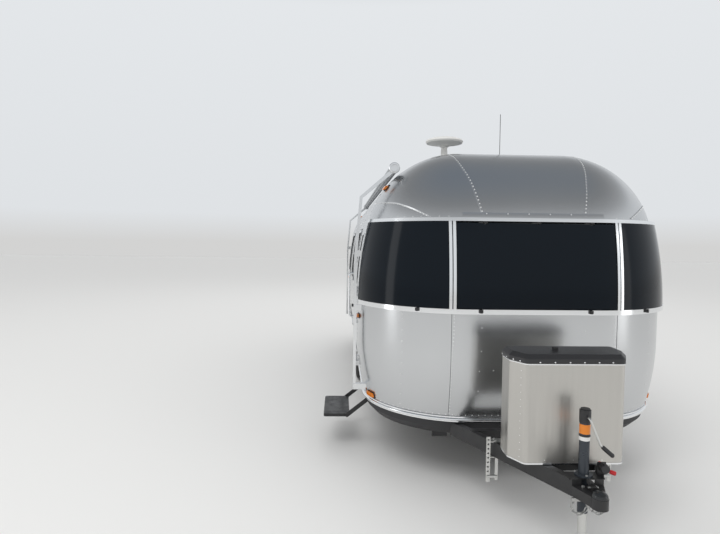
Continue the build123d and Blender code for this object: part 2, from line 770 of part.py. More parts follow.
# The lid's hinge along the back: its axis, and where its knuckle pairs meet
lid_axis_y = box_back_y + 11
lid_axis_z = box_high_z + 1
lid_knuckle_radius = 6
lid_knuckle_length = 60
lid_knuckle_xs = (-220, 220)


def lid_knuckle(x):
    with Locations(Location((x, lid_axis_y, lid_axis_z), (0, 90, 0))):
        Cylinder(lid_knuckle_radius, lid_knuckle_length)


with BuildPart() as gas_box:
    add(box_prism(0, box_low_z, box_high_z - box_low_z).part)
    add(box_prism(box_skin, box_low_z + box_skin, big).part, mode=Mode.SUBTRACT)
    for x in lid_knuckle_xs:
        fixed_x = x + lid_knuckle_length / 2 + 3
        lid_knuckle(fixed_x)
        box_between((fixed_x - lid_knuckle_length / 2, box_back_y - 1, lid_axis_z - 40),
                    (fixed_x + lid_knuckle_length / 2, box_back_y + 3, lid_axis_z - 6))
        box_between((fixed_x - lid_knuckle_length / 2, box_back_y - 1, lid_axis_z - 10),
                    (fixed_x + lid_knuckle_length / 2, lid_axis_y + 2, lid_axis_z - 5))
finish_part(gas_box, "gas_box")

with BuildPart() as gas_lid:
    add(box_prism(-4, box_high_z + 1, lid_height).part)
    chamfer(gas_lid.edges().group_by(Axis.Z)[-1], 26)
    add(box_prism(box_skin, box_high_z, lid_height - 30).part, mode=Mode.SUBTRACT)
    with Locations((lid_knob_x, box_back_y - 138, box_high_z + lid_height + 6)):
        Cylinder(20, 26)
    for x in lid_knuckle_xs:
        moving_x = x - lid_knuckle_length / 2 - 3
        lid_knuckle(moving_x)
        box_between((moving_x - lid_knuckle_length / 2, box_back_y + 3, lid_axis_z + 3),
                    (moving_x + lid_knuckle_length / 2, lid_axis_y + 2, lid_axis_z + 7))
finish_part(gas_lid, "gas_lid")

with BuildPart() as gas_bottles:
    for side in (1, -1):
        bottle_place = (side * (bottle_radius + 6), box_back_y - bottle_radius - 12)
        bottle_low_z = box_low_z + box_skin
        shoulder_z = bottle_low_z + bottle_height - 80
        collar_z = bottle_low_z + bottle_height
        with BuildSketch(Plane(origin=(*bottle_place, 0), x_dir=(1, 0, 0), z_dir=(0, -1, 0))):
            with BuildLine():
                Line((0, bottle_low_z), (bottle_radius, bottle_low_z))
                Line((bottle_radius, bottle_low_z), (bottle_radius, shoulder_z - 70))
                ThreePointArc((bottle_radius, shoulder_z - 70), (bottle_radius - 14, shoulder_z - 28),
                              (95, shoulder_z))
                Polyline((95, shoulder_z), (95, collar_z), (91, collar_z), (91, shoulder_z + 4), (22, shoulder_z + 10),
                         (22, collar_z - 20), (0, collar_z - 20), (0, bottle_low_z))
            make_face()
        revolve(axis=Axis((*bottle_place, 0), (0, 0, 1)))
finish_part(gas_bottles, "gas_bottles")

# Spring bar brackets on the tongue rails
bracket_y = 540
bracket_low_z = 246
bracket_high_z = 560
bracket_holes = 8
with BuildPart() as hitch_brackets:
    for side in (1, -1):
        x = side * (rail_x(bracket_y) + edge)
        strip_x = x + side * 22
        face_y = bracket_y - 24
        box_between((x - side * 62, bracket_y - 30, rail_top_z), (strip_x, bracket_y + 30, rail_top_z + 6))
        box_between((strip_x - side * 14, face_y - 7, bracket_low_z), (strip_x + side * 14, face_y, bracket_high_z))
        box_between((x - side * 42, face_y - 7, rail_low_z - 5), (strip_x, bracket_y + 24, rail_low_z))
        box_between((x - side * 46, face_y - 7, bracket_low_z + 14), (x - side * 26, face_y, rail_low_z - 2))
        with Locations(Location((x - side * 7, face_y - 3.5, bracket_low_z + 40), (0, 90, 0))):
            Cylinder(11, 70)
        for i in range(bracket_holes):
            hole_z = bracket_low_z + 76 + i * (bracket_high_z - bracket_low_z - 96) / (bracket_holes - 1)
            with Locations(Location((strip_x, face_y, hole_z), (90, 0, 0))):
                Cylinder(7, 30, mode=Mode.SUBTRACT)
    add(tongue_rails.part, mode=Mode.SUBTRACT)
finish_part(hitch_brackets, "hitch_brackets")

# Plug holder and breakaway switch on the tongue's right rail
fittings_y = 6
with BuildPart() as tongue_fittings:
    fittings_x = rail_x(fittings_y)
    box_between((fittings_x - 16, fittings_y - 4, rail_top_z), (fittings_x + 36, fittings_y + 2, rail_top_z + 74))
    with Locations(Location((fittings_x + 12, fittings_y - 22, rail_top_z + 48), (90, 0, 0))):
        Cylinder(24, 40)
    box_between((fittings_x + 2, fittings_y + 2, rail_top_z), (fittings_x + 30, fittings_y + 62, rail_top_z + 34))
    with Locations(Location((fittings_x + 16, fittings_y + 32, rail_top_z + 34), (0, 0, 0))):
        Cylinder(9, 22, align=(Align.CENTER, Align.CENTER, Align.MIN))
    add(jack_housing.part, mode=Mode.SUBTRACT)
    add(gas_box.part, mode=Mode.SUBTRACT)
finish_part(tongue_fittings, "tongue_fittings")

# Safety chains: a loop of links on each side, hung from a bar under the tongue rails
link_length = 36
link_width = 22
link_wire = 7
chain_bar_y = -80
chain_bar_z = coupler_low_z - 20
chain_ends = (22, 92)
chain_sag = 75


def chain_link(plane):
    """One link: a ring of flat-faced wire with its corners cut."""
    with BuildPart() as link:
        with BuildSketch(plane) as ring:
            Rectangle(link_length, link_width)
            chamfer(ring.vertices(), link_wire - 1)
            Rectangle(link_length - 2 * link_wire, link_width - 2 * link_wire, mode=Mode.SUBTRACT)
        extrude(amount=link_wire / 2, both=True)
    return link


with BuildPart() as safety_chains:
    box_between((-chain_ends[1] - 12, chain_bar_y - 6, chain_bar_z), (chain_ends[1] + 12, chain_bar_y + 6, coupler_low_z))
    half_span = (chain_ends[1] - chain_ends[0]) / 2
    loop_radius = (half_span**2 + chain_sag**2) / (2 * chain_sag)
    reach_angle = math.pi - math.asin(half_span / loop_radius)
    links = round(2 * reach_angle * loop_radius / (link_length - 2 * link_wire))
    for side in (1, -1):
        for i in range(links):
            turn = reach_angle * (2 * i / (links - 1) - 1)
            x = side * (chain_ends[0] + half_span + loop_radius * math.sin(turn))
            z = chain_bar_z + loop_radius - chain_sag - loop_radius * math.cos(turn)
            along = Vector(side * math.cos(turn), 0, math.sin(turn))
            across = Vector(-side * math.sin(turn), 0, math.cos(turn))
            facing = across if i % 2 else Vector(0, 1, 0)
            add(chain_link(Plane(origin=(x, chain_bar_y, z), x_dir=along, z_dir=facing)).part)
finish_part(safety_chains, "safety_chains")

# Fold-out step below the door
with BuildPart() as step_arms:
    for y in arm_ys:
        with BuildSketch(Plane(origin=(0, y + step_arm_width / 2, 0), x_dir=(1, 0, 0), z_dir=(0, -1, 0))):
            with BuildLine():
                Polyline((step_pivot_x, step_pivot_z + 18), (step_pivot_x + 16, step_pivot_z - 8),
                         (arm_end_x + 10, arm_end_z - 18), (arm_end_x - 16, arm_end_z - 4),
                         (arm_end_x - 10, arm_end_z + 14), (step_pivot_x - 10, step_pivot_z + 18), close=True)
            make_face()
        extrude(amount=step_arm_width)
    with Locations(Location((step_pivot_x, step_y, step_pivot_z), (90, 0, 0))):
        Cylinder(8, step_tread_width + 20)
    with Locations(Location((arm_end_x, step_y, arm_end_z), (90, 0, 0))):
        Cylinder(step_pin_radius + seat_gap, step_tread_width + 60, mode=Mode.SUBTRACT)
finish_part(step_arms, "step_arms")

with BuildPart() as step_tread:
    box_between((arm_end_x - step_tread_depth + 30, step_y - step_tread_width / 2, arm_end_z - step_tread_thick / 2),
                (arm_end_x + 30, step_y + step_tread_width / 2, arm_end_z + step_tread_thick / 2))
    fillet(step_tread.edges().filter_by(Axis.Z), 24)
    for i in range(6):
        groove_x = arm_end_x + 8 - i * 34
        box_between((groove_x - 5, step_y - step_tread_width / 2 + 30, arm_end_z + step_tread_thick / 2 - 3),
                    (groove_x + 5, step_y + step_tread_width / 2 - 30, big), mode=Mode.SUBTRACT)
    with Locations(Location((arm_end_x, step_y, arm_end_z), (90, 0, 0))):
        Cylinder(step_pin_radius, step_tread_width + 34)
finish_part(step_tread, "step_tread")

# Grab handle behind the door
with BuildPart() as grab_handle:
    handle_y = door_front_y + door_width + 70
    out_x = -shell_half_width - 62
    with BuildLine() as handle_path:
        FilletPolyline((-shell_half_width, handle_y, 1120), (out_x, handle_y, 1120), (out_x, handle_y, 1560),
                       (-core_x - wall_reach(1549), handle_y, 1560), radius=26)
    with BuildSketch(Plane(origin=(-shell_half_width, handle_y, 1120), z_dir=(-1, 0, 0))):
        Circle(11)
    sweep(path=handle_path.line)
finish_part(grab_handle, "grab_handle")

# Awning: rolled up on its tube over the curb side, with an arm at each end
with BuildPart() as awning_roller:
    with BuildSketch(Plane(origin=(awning_roller_x, awning_rear_y - awning_arm_width / 2, awning_roller_z),
                           z_dir=(0, -1, 0))):
        Circle(awning_roller_radius)
    extrude(amount=awning_rear_y - awning_front_y - awning_arm_width)
finish_part(awning_roller, "awning_roller")

with BuildPart() as awning_arms:
    for y in (awning_front_y, awning_rear_y):
        with BuildSketch(Plane(origin=(0, y + awning_arm_width / 2, 0), x_dir=(1, 0, 0), z_dir=(0, -1, 0))):
            with BuildLine():
                thick = awning_arm_thick
                Polyline((awning_arm_x, awning_arm_low_z), (awning_arm_x + thick, awning_arm_low_z),
                         (awning_arm_x + thick, awning_arm_bend_z), (awning_arm_shoulder_x + thick, awning_arm_shoulder_z),
                         (awning_roller_x + 24, awning_roller_z - 12), (awning_roller_x + 8, awning_roller_z + 18),
                         (awning_arm_shoulder_x, awning_arm_shoulder_z + 12), (awning_arm_x, awning_arm_bend_z),
                         close=True)
            make_face()
        extrude(amount=awning_arm_width)
        box_between((awning_arm_x - 100, y - awning_arm_slot / 2, awning_arm_low_z + 60),
                    (awning_roller_x, y + awning_arm_slot / 2, awning_roller_z - 90), mode=Mode.SUBTRACT)
        for z in (awning_arm_low_z, 1300, awning_arm_bend_z):
            box_between((awning_arm_x + 4, y - 22, z), (90 - shell_half_width, y + 22, z + 50))
    add(side_skin(0, -wall * 4, -1).part, mode=Mode.SUBTRACT)
    add(end_skin(0, -wall * 4).part, mode=Mode.SUBTRACT)
finish_part(awning_arms, "awning_arms")

# Roof gear: television antenna, whip antenna, air conditioner and two vents
antenna_x, antenna_y = -478, 2000
whip_x, whip_y = -20, 1760
with BuildPart() as antennas:
    with BuildSketch(Plane(origin=(antenna_x, antenna_y, 0), x_dir=(1, 0, 0), z_dir=(0, -1, 0))):
        with BuildLine():
            Polyline((0, roof_z - 25), (70, roof_z - 25), (70, roof_z), (62, roof_z + 16), (34, roof_z + 26), (28, roof_z + 120),
                     (60, roof_z + 142), (166, roof_z + 160), (175, roof_z + 174), (166, roof_z + 190),
                     (120, roof_z + 206), (0, roof_z + 214), close=True)
        make_face()
    revolve(axis=Axis((antenna_x, antenna_y, 0), (0, 0, 1)))
    add(roof_panel.part, mode=Mode.SUBTRACT)
    add(side_skin(0, -wall, -1).part, mode=Mode.SUBTRACT)
    with Locations((whip_x, whip_y, roof_z)):
        Cylinder(22, 14, align=(Align.CENTER, Align.CENTER, Align.MIN))
    with Locations((whip_x, whip_y, roof_z + 14)):
        Cylinder(2.5, 370, align=(Align.CENTER, Align.CENTER, Align.MIN))
finish_part(antennas, "antennas")

with BuildPart() as air_conditioner:
    with BuildSketch(Plane.XY.offset(roof_z)):
        with Locations((0, shell_middle_y)):
            RectangleRounded(680, 1020, 90)
    extrude(amount=250, taper=8)
    fillet(air_conditioner.edges().group_by(Axis.Z)[-1], 40)
    for side in (1, -1):
        for i in range(5):
            with Locations((side * 330, shell_middle_y + 120, roof_z + 50 + i * 28)):
                Box(60, 560, 12, mode=Mode.SUBTRACT)
finish_part(air_conditioner, "air_conditioner")

vent_ys = (nose_y + 2065, tail_y - 1975)
vent_half = 190
vent_axis_z = roof_z + 46
vent_knuckle_xs = (-130, 130)
with BuildPart() as vent_frames:
    for y in vent_ys:
        box_between((-vent_half, y - vent_half, roof_z), (vent_half, y + vent_half, roof_z + 38))
        box_between((12 - vent_half, y - vent_half + 12, roof_z), (vent_half - 12, y + vent_half - 12, roof_z + 60),
                    mode=Mode.SUBTRACT)
        for x in vent_knuckle_xs:
            box_between((x, y + vent_half - 2, roof_z + 10), (x + 28, y + vent_half + 13, roof_z + 34))
            with Locations(Location((x + 14, y + vent_half + 10, vent_axis_z), (0, 90, 0))):
                Cylinder(5, 28)
            box_between((x, y + vent_half + 6, roof_z + 30), (x + 28, y + vent_half + 13, vent_axis_z))
finish_part(vent_frames, "vent_frames")
for y, name in zip(vent_ys, ("front", "rear")):
    with BuildPart() as vent_lid:
        box_between((-vent_half - 8, y - vent_half - 8, roof_z + 44), (vent_half + 8, y + vent_half, roof_z + 64))
        fillet(vent_lid.edges().filter_by(Axis.Z), 20)
        chamfer(vent_lid.edges().group_by(Axis.Z)[-1], 8)
        box_between((-vent_half - 2, y - vent_half - 2, 0), (vent_half + 2, y + vent_half - 8, roof_z + 58),
                    mode=Mode.SUBTRACT)
        for x in vent_knuckle_xs:
            with Locations(Location((x - 18, y + vent_half + 10, vent_axis_z), (0, 90, 0))):
                Cylinder(5, 28)
            box_between((x - 32, y + vent_half - 6, roof_z + 46), (x - 4, y + vent_half + 10, roof_z + 51))
    finish_part(vent_lid, f"vent_lid_{name}")

# Service doors: (side, from this y, to this y, low z, high z, louvres)
hatch_proud = 7
hatches = [(1, nose_y + 2285, nose_y + 2685, 640, 1120, 9), (1, nose_y + 1000, nose_y + 1340, 640, 900, 0),
           (1, nose_y + 4900, nose_y + 5300, 640, 960, 0), (-1, nose_y + 1880, nose_y + 2240, 640, 900, 0),
           (-1, nose_y + 4860, nose_y + 5420, 640, 980, 0)]
with BuildPart() as service_hatches:
    for side, low_y, high_y, low_z, high_z, louvres in hatches:
        with BuildPart(mode=Mode.PRIVATE) as hatch:
            add(side_skin(hatch_proud, seat_gap, side, low_y - 100, high_y + 100).part)
            add(side_prism(side, low_y, low_z, high_y, high_z, 30).part, mode=Mode.INTERSECT)
            for i in range(louvres):
                louvre_z = low_z + 60 + i * (high_z - low_z - 120) / (louvres - 1)
                box_between((side * (shell_half_width - 60), low_y + 50, louvre_z - 7),
                            (side * big, high_y - 50, louvre_z + 7), mode=Mode.SUBTRACT)
        add(hatch.part)
finish_part(service_hatches, "service_hatches")

# Lamps on the rounded corners, each as (distance in from the shell's end, z, half length, half height)
lamp_places = [(565, 606, 46, 17), (745, 2350, 30, 16), (745, 1245, 34, 13)]
lamp_proud = 22
with BuildPart() as lamp_blocks:
    for side in (1, -1):
        for inset, z, half_length, half_height in lamp_places:
            for y in (nose_y + inset, tail_y - inset):
                box_between((side * core_x, y - half_length, z - half_height),
                            (side * big, y + half_length, z + half_height))
with BuildPart() as marker_lamps:
    for rear in (False, True):
        add(end_skin(lamp_proud, seat_gap, rear).part)
    add(lamp_blocks.part, mode=Mode.INTERSECT)
finish_part(marker_lamps, "marker_lamps")

with BuildPart() as tail_lamp_places:
    for side in (1, -1):
        for z in (820, 930, 1040):
            box_between((side * (core_x + 210), core_rear_y, z - 48), (side * (core_x + 370), big, z + 48))
with BuildPart() as tail_lamps:
    add(end_skin(24, seat_gap, rear=True).part)
    add(tail_lamp_places.part, mode=Mode.INTERSECT)
finish_part(tail_lamps, "tail_lamps")

# Rear bumper: an open channel with a lid over its store
bumper_depth = 175
bumper_half_width = shell_half_width - 439
bumper_low_z = 424
bumper_top_z = 530
bumper_wall = 6
bumper_back_y = tail_y + bumper_depth
bumper_axis_y = tail_y + 5
bumper_axis_z = bumper_top_z + 5
bumper_knuckle_xs = (-640, 0, 640)


def bumper_knuckle(x, leaf_y, leaf_z):
    """A knuckle of the store lid's hinge, with a leaf that reaches to a place on its plate."""
    with Locations(Location((x, bumper_axis_y, bumper_axis_z), (0, 90, 0))):
        Cylinder(5, 60)
    box_between((x - 30, min(leaf_y, bumper_axis_y), leaf_z), (x + 30, max(leaf_y, bumper_axis_y), bumper_axis_z))


with BuildPart() as bumper:
    box_between((-bumper_half_width, tail_y, bumper_low_z), (bumper_half_width, bumper_back_y, bumper_top_z))
    box_between((bumper_wall - bumper_half_width, tail_y + bumper_wall, bumper_low_z + bumper_wall),
                (bumper_half_width - bumper_wall, bumper_back_y - bumper_wall, big), mode=Mode.SUBTRACT)
    for side in (1, -1):
        box_between((side * (core_x + 50), tail_y - 260, bumper_low_z + 20), (side * (core_x + 130), tail_y, bumper_top_z - 10))
    add(belly_pan.part, mode=Mode.SUBTRACT)
    box_between((-big, 0, 0), (big, tail_y - 160, big), mode=Mode.SUBTRACT)
    for x in bumper_knuckle_xs:
        bumper_knuckle(x + 34, tail_y, bumper_top_z - 2)
finish_part(bumper, "bumper")
with BuildPart() as bumper_lid:
    box_between((-bumper_half_width, tail_y + 16, bumper_top_z + 3), (bumper_half_width, bumper_back_y, bumper_top_z + 8))
    for x in bumper_knuckle_xs:
        bumper_knuckle(x - 34, tail_y + 20, bumper_top_z + 3)
finish_part(bumper_lid, "bumper_lid")

# Stabiliser legs, folded up under the belly
leg_length = 420
stabiliser_x = shell_half_width - 649
stabiliser_pin_radius = 8
stabiliser_ys = {"front": (nose_y + 745, -1), "rear": (tail_y - 735, 1)}
stabiliser_pivot_z = belly_low_z - 34
with BuildPart() as underbody_brackets:
    for y, toward in ((arm_ys[0] - step_arm_width, -1), (arm_ys[1] + step_arm_width, 1)):
        box_between((step_pivot_x - 22, y, step_pivot_z - 22), (step_pivot_x + 120, y + toward * 6, step_pivot_z + 36))
    for side in (1, -1):
        for pivot_y, toward in stabiliser_ys.values():
            for offset_x in (-29, 29):
                x = side * stabiliser_x + offset_x
                box_between((x - 3, pivot_y - 35, belly_low_z - 60), (x + 3, pivot_y + 35, belly_low_z))
            with Locations(Location((side * stabiliser_x, pivot_y, stabiliser_pivot_z), (0, 90, 0))):
                Cylinder(stabiliser_pin_radius + seat_gap, 90, mode=Mode.SUBTRACT)
finish_part(underbody_brackets, "underbody_brackets")
for side, side_name in wall_names.items():
    for end_name, (pivot_y, toward) in stabiliser_ys.items():
        with BuildPart() as stabiliser:
            x = side * stabiliser_x
            low_y, high_y = sorted((pivot_y - toward * 18, pivot_y + toward * leg_length))
            box_between((x - 20, low_y, stabiliser_pivot_z - 20), (x + 20, high_y, stabiliser_pivot_z + 20))
            low_y, high_y = sorted((pivot_y + toward * (leg_length - 14), pivot_y + toward * (leg_length + 10)))
            box_between((x - 60, low_y, stabiliser_pivot_z - 45), (x + 60, high_y, stabiliser_pivot_z + 25))
            with Locations(Location((x, pivot_y, stabiliser_pivot_z), (0, 90, 0))):
                Cylinder(stabiliser_pin_radius, 72)
        finish_part(stabiliser, f"stabiliser_{side_name}_{end_name}")
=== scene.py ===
import bmesh
import bpy
import math
from mathutils import Vector, Matrix


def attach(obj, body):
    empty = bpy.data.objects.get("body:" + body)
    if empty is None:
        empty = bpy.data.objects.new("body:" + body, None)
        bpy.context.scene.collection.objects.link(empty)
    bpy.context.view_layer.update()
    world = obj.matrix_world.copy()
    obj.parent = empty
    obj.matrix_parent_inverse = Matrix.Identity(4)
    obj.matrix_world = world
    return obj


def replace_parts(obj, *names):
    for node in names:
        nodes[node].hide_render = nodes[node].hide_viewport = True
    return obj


# The dressed travel caravan. Sizes are in metres in the CAD's frame: the origin is on the ground
# under the tongue jack, the door is at minus x, y runs to the rear and z runs up.

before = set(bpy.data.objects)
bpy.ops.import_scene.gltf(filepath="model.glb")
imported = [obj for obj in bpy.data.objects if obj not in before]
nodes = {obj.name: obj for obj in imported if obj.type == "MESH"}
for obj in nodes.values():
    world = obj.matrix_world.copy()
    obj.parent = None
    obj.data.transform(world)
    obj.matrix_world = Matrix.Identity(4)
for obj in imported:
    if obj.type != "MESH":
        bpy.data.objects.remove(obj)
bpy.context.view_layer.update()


# Helpers


def put(name, verts, faces, mat, body="shell", crease=35):
    """Makes an object of one mesh, smooth over its curves and sharp at its edges."""
    mesh = bpy.data.meshes.new(name)
    mesh.from_pydata([tuple(v) for v in verts], [], faces)
    work = bmesh.new()
    work.from_mesh(mesh)
    bmesh.ops.recalc_face_normals(work, faces=work.faces)
    work.to_mesh(mesh)
    work.free()
    mesh.shade_smooth()
    mesh.set_sharp_from_angle(angle=math.radians(crease))
    obj = bpy.data.objects.new(name, mesh)
    bpy.context.scene.collection.objects.link(obj)
    obj.data.materials.append(mat)
    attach(obj, body)
    return obj


def square_ways(axis):
    """The axis at unit length, and two ways square to it and to each other."""
    axis = Vector(axis).normalized()
    aside = Vector((0, 0, 1)) if abs(axis.z) < 0.9 else Vector((0, 1, 0))
    n = axis.cross(aside).normalized()
    return axis, n, axis.cross(n)


def circle(centre, n, m, radius, sides):
    """Points round a circle that lies along two ways."""
    return [centre + (n * math.cos(t) + m * math.sin(t)) * radius
            for t in (2 * math.pi * k / sides for k in range(sides))]


def evenly(low, high, parts):
    """Values from low to high in even steps."""
    return [low + (high - low) * i / parts for i in range(parts + 1)]


class Pile:
    """Vertices and faces that are gathered into one mesh."""

    def __init__(self):
        self.verts = []
        self.faces = []

    def add(self, verts, faces):
        start = len(self.verts)
        self.verts += [tuple(v) for v in verts]
        self.faces += [tuple(i + start for i in f) for f in faces]

    def box(self, low, high):
        (ax, ay, az), (bx, by, bz) = low, high
        plan_corners = ((ax, ay), (bx, ay), (bx, by), (ax, by))
        self.add([(x, y, z) for z in (az, bz) for x, y in plan_corners],
                 [(0, 3, 2, 1), (4, 5, 6, 7), (0, 1, 5, 4), (1, 2, 6, 5), (2, 3, 7, 6),
                  (3, 0, 4, 7)])

    def ring(self, sections, close=False):
        """Skins a run of sections, each a loop of as many points, and caps an open run's ends."""
        n = len(sections[0])
        m = len(sections)
        start = len(self.verts)
        for section in sections:
            self.verts += [tuple(p) for p in section]
        for i in range(m if close else m - 1):
            a, b = start + i * n, start + ((i + 1) % m) * n
            for k in range(n):
                self.faces.append((a + k, a + (k + 1) % n, b + (k + 1) % n, b + k))
        if not close:
            self.faces.append(tuple(start + k for k in reversed(range(n))))
            self.faces.append(tuple(start + (m - 1) * n + k for k in range(n)))

    def tube(self, path, radius, sides, close=False):
        """A round bar along points."""
        pts = [Vector(p) for p in path]
        sections = []
        n = None
        for i, p in enumerate(pts):
            before = pts[i - 1] if (i or close) else p
            after = pts[(i + 1) % len(pts)] if (i + 1 < len(pts) or close) else p
            d = (after - before).normalized()
            n = square_ways(d)[1] if n is None else (n - d * n.dot(d)).normalized()
            sections.append(circle(p, n, d.cross(n), radius, sides))
        self.ring(sections, close)

    def turned(self, centre, axis, profile, sides=24):
        """A profile of (radius, distance along the axis) turned about the axis."""
        axis, n, m = square_ways(axis)
        least = 1e-5  # keeps a point on the axis from folding the mesh
        self.ring([circle(Vector(centre) + axis * along, n, m, max(r, least), sides)
                   for r, along in profile])

    def dome(self, p, normal, radius, height, sides=6):
        """A rivet's or bolt's low round head."""
        shoulder = 0.72  # of the radius and of the height
        normal, n, m = square_ways(normal)
        p = Vector(p)
        start = len(self.verts)
        rings = (circle(p, n, m, radius, sides)
                 + circle(p + normal * height * shoulder, n, m, radius * shoulder, sides))
        self.verts += [tuple(v) for v in rings + [p + normal * height]]
        for k in range(sides):
            a, b = start + k, start + (k + 1) % sides
            self.faces.append((a, b, b + sides, a + sides))
            self.faces.append((a + sides, b + sides, start + 2 * sides))

    def band(self, loop, width, low, high, close=True):
        """A flat bar laid along surface points, each a place and its normal."""
        top = 0.9  # width of the top as a share of the width at the foot
        count = len(loop)
        sections = []
        for i, (p, n) in enumerate(loop):
            before = loop[i - 1][0] if (i or close) else p
            after = loop[(i + 1) % count][0] if (i + 1 < count or close) else p
            half = n.cross(after - before).normalized() * (width / 2)
            sections.append([p - half + n * low, p + half + n * low,
                             p + half * top + n * high, p - half * top + n * high])
        self.ring(sections, close)

    def sleeve(self, centre, axis, inner, outer, low, high, sides=32):
        """A hollow ring about an axis."""
        axis, n, m = square_ways(axis)
        edges = ((inner, low), (outer, low), (outer, high), (inner, high))
        self.ring([[Vector(centre) + way * r + axis * along for r, along in edges]
                   for way in circle(Vector((0, 0, 0)), n, m, 1, sides)], close=True)

    def hexagon(self, p, normal, across, height):
        """A bolt's or nut's head, measured across its flats, with a bevelled top."""
        at_corner = across / 1.732
        self.turned(p, normal,
                    [(at_corner, 0), (at_corner, height * 0.8), (across / 2.1, height)], 6)

    def done(self, name, mat, body="shell", crease=35):
        return put(name, self.verts, self.faces, mat, body, crease)


def box_piece(name, mat, low, high):
    """A piece of its own that is one box."""
    pile = Pile()
    pile.box(low, high)
    pile.done(name, mat)


def turned_piece(name, mat, centre, axis, profile, sides=24, body="shell"):
    """A piece of its own that is one turned profile."""
    pile = Pile()
    pile.turned(centre, axis, profile, sides)
    pile.done(name, mat, body)


def sleeve_piece(name, mat, inner, outer, low, high):
    """A piece of its own that is a ring about the jack's axis, between two heights."""
    pile = Pile()
    pile.sleeve((0, 0, 0), (0, 0, 1), inner, outer, low, high)
    pile.done(name, mat)


def shader(name, colour, roughness, metallic=0.0, **more):
    """A plain material; further inputs are named with an underscore for each blank."""
    mat = bpy.data.materials.new(name)
    mat.use_nodes = True
    node = mat.node_tree.nodes["Principled BSDF"]
    node.inputs["Base Color"].default_value = (*colour, 1)
    node.inputs["Metallic"].default_value = metallic
    node.inputs["Roughness"].default_value = roughness
    for key, value in more.items():
        node.inputs[key.replace("_", " ")].default_value = value
    return mat


def noise_of(mat, scale, stretch, detail):
    """A noise pattern on the object's own coordinates."""
    tree = mat.node_tree
    place = tree.nodes.new("ShaderNodeTexCoord")
    mapping = tree.nodes.new("ShaderNodeMapping")
    mapping.inputs["Scale"].default_value = stretch
    noise = tree.nodes.new("ShaderNodeTexNoise")
    noise.inputs["Scale"].default_value = scale
    noise.inputs["Detail"].default_value = detail
    tree.links.new(place.outputs["Object"], mapping.inputs["Vector"])
    tree.links.new(mapping.outputs["Vector"], noise.inputs["Vector"])
    return noise


def bump(mat, scale, strength, distance, stretch=(1, 1, 1), detail=2.0):
    """Small unevenness that only the light shows."""
    tree = mat.node_tree
    noise = noise_of(mat, scale, stretch, detail)
    rise = tree.nodes.new("ShaderNodeBump")
    rise.inputs["Strength"].default_value = strength
    rise.inputs["Distance"].default_value = distance
    tree.links.new(noise.outputs["Fac"], rise.inputs["Height"])
    tree.links.new(rise.outputs["Normal"], tree.nodes["Principled BSDF"].inputs["Normal"])


def mottled(mat, scale, low, high, stretch=(1, 1, 1)):
    """Roughness that varies over the surface between two values."""
    tree = mat.node_tree
    noise = noise_of(mat, scale, stretch, detail=3)
    spread = tree.nodes.new("ShaderNodeMapRange")
    spread.inputs["From Min"].default_value = 0.3
    spread.inputs["From Max"].default_value = 0.7
    spread.inputs["To Min"].default_value = low
    spread.inputs["To Max"].default_value = high
    tree.links.new(noise.outputs["Fac"], spread.inputs["Value"])
    tree.links.new(spread.outputs["Result"], tree.nodes["Principled BSDF"].inputs["Roughness"])


def two_tone(mat, scale, one, other, stretch=(1, 1, 1)):
    """Colour that drifts between two tones."""
    tree = mat.node_tree
    noise = noise_of(mat, scale, stretch, detail=3)
    ramp = tree.nodes.new("ShaderNodeValToRGB")
    for stop, at, colour in zip(ramp.color_ramp.elements, (0.35, 0.65), (one, other)):
        stop.position = at
        stop.color = (*colour, 1)
    tree.links.new(noise.outputs["Fac"], ramp.inputs["Fac"])
    tree.links.new(ramp.outputs["Color"], tree.nodes["Principled BSDF"].inputs["Base Color"])


# Finishes

shell_metal = shader("shell_metal", (0.60, 0.61, 0.62), metallic=1.0, roughness=0.24)
mottled(shell_metal, scale=2.5, low=0.22, high=0.27, stretch=(1, 1, 0.3))
bump(shell_metal, scale=1.3, strength=0.05, distance=0.02, stretch=(1, 1, 0.5), detail=0.0)
hatch_metal = shader("hatch_metal", (0.58, 0.59, 0.60), metallic=1.0, roughness=0.25)
mottled(hatch_metal, scale=4, low=0.24, high=0.31)
bright = shader("bright_metal", (0.86, 0.87, 0.88), metallic=1.0, roughness=0.13)
brushed = shader("brushed_metal", (0.55, 0.535, 0.505), metallic=1.0, roughness=0.3)
mottled(brushed, scale=60, low=0.28, high=0.44, stretch=(1, 1, 0.03))
bump(brushed, scale=220, strength=0.05, distance=0.001, stretch=(1, 1, 0.02))
rivet_metal = shader("rivet_metal", (0.93, 0.93, 0.93), metallic=0.45, roughness=0.35)
seam_metal = shader("seam_metal", (0.61, 0.62, 0.63), metallic=1.0, roughness=0.25)
seam_dark = shader("seam_dark", (0.07, 0.07, 0.075), metallic=0.3, roughness=0.5)
tinted_glass = shader("tinted_glass", (0.09, 0.10, 0.11), roughness=0.03,
                      Transmission_Weight=0.75, IOR=1.45)
smoked = shader("smoked_guard", (0.001, 0.004, 0.008), roughness=0.11,
                IOR=1.45, Specular_IOR_Level=0.22)
trim_black = shader("trim_black", (0.02, 0.02, 0.021), roughness=0.45)
gasket = shader("gasket", (0.015, 0.015, 0.015), roughness=0.7)
grained_black = shader("grained_black", (0.022, 0.022, 0.024), roughness=0.42)
bump(grained_black, scale=420, strength=0.25, distance=0.002)
steel_black = shader("steel_black", (0.018, 0.018, 0.019), roughness=0.38)
bump(steel_black, scale=120, strength=0.12, distance=0.002)
mottled(steel_black, scale=14, low=0.28, high=0.5)
belly_black = shader("belly_black", (0.028, 0.028, 0.03), roughness=0.6)
bump(belly_black, scale=60, strength=0.15, distance=0.003)
jack_grey = shader("jack_grey", (0.035, 0.042, 0.052), metallic=0.2, roughness=0.35)
mottled(jack_grey, scale=20, low=0.25, high=0.45)
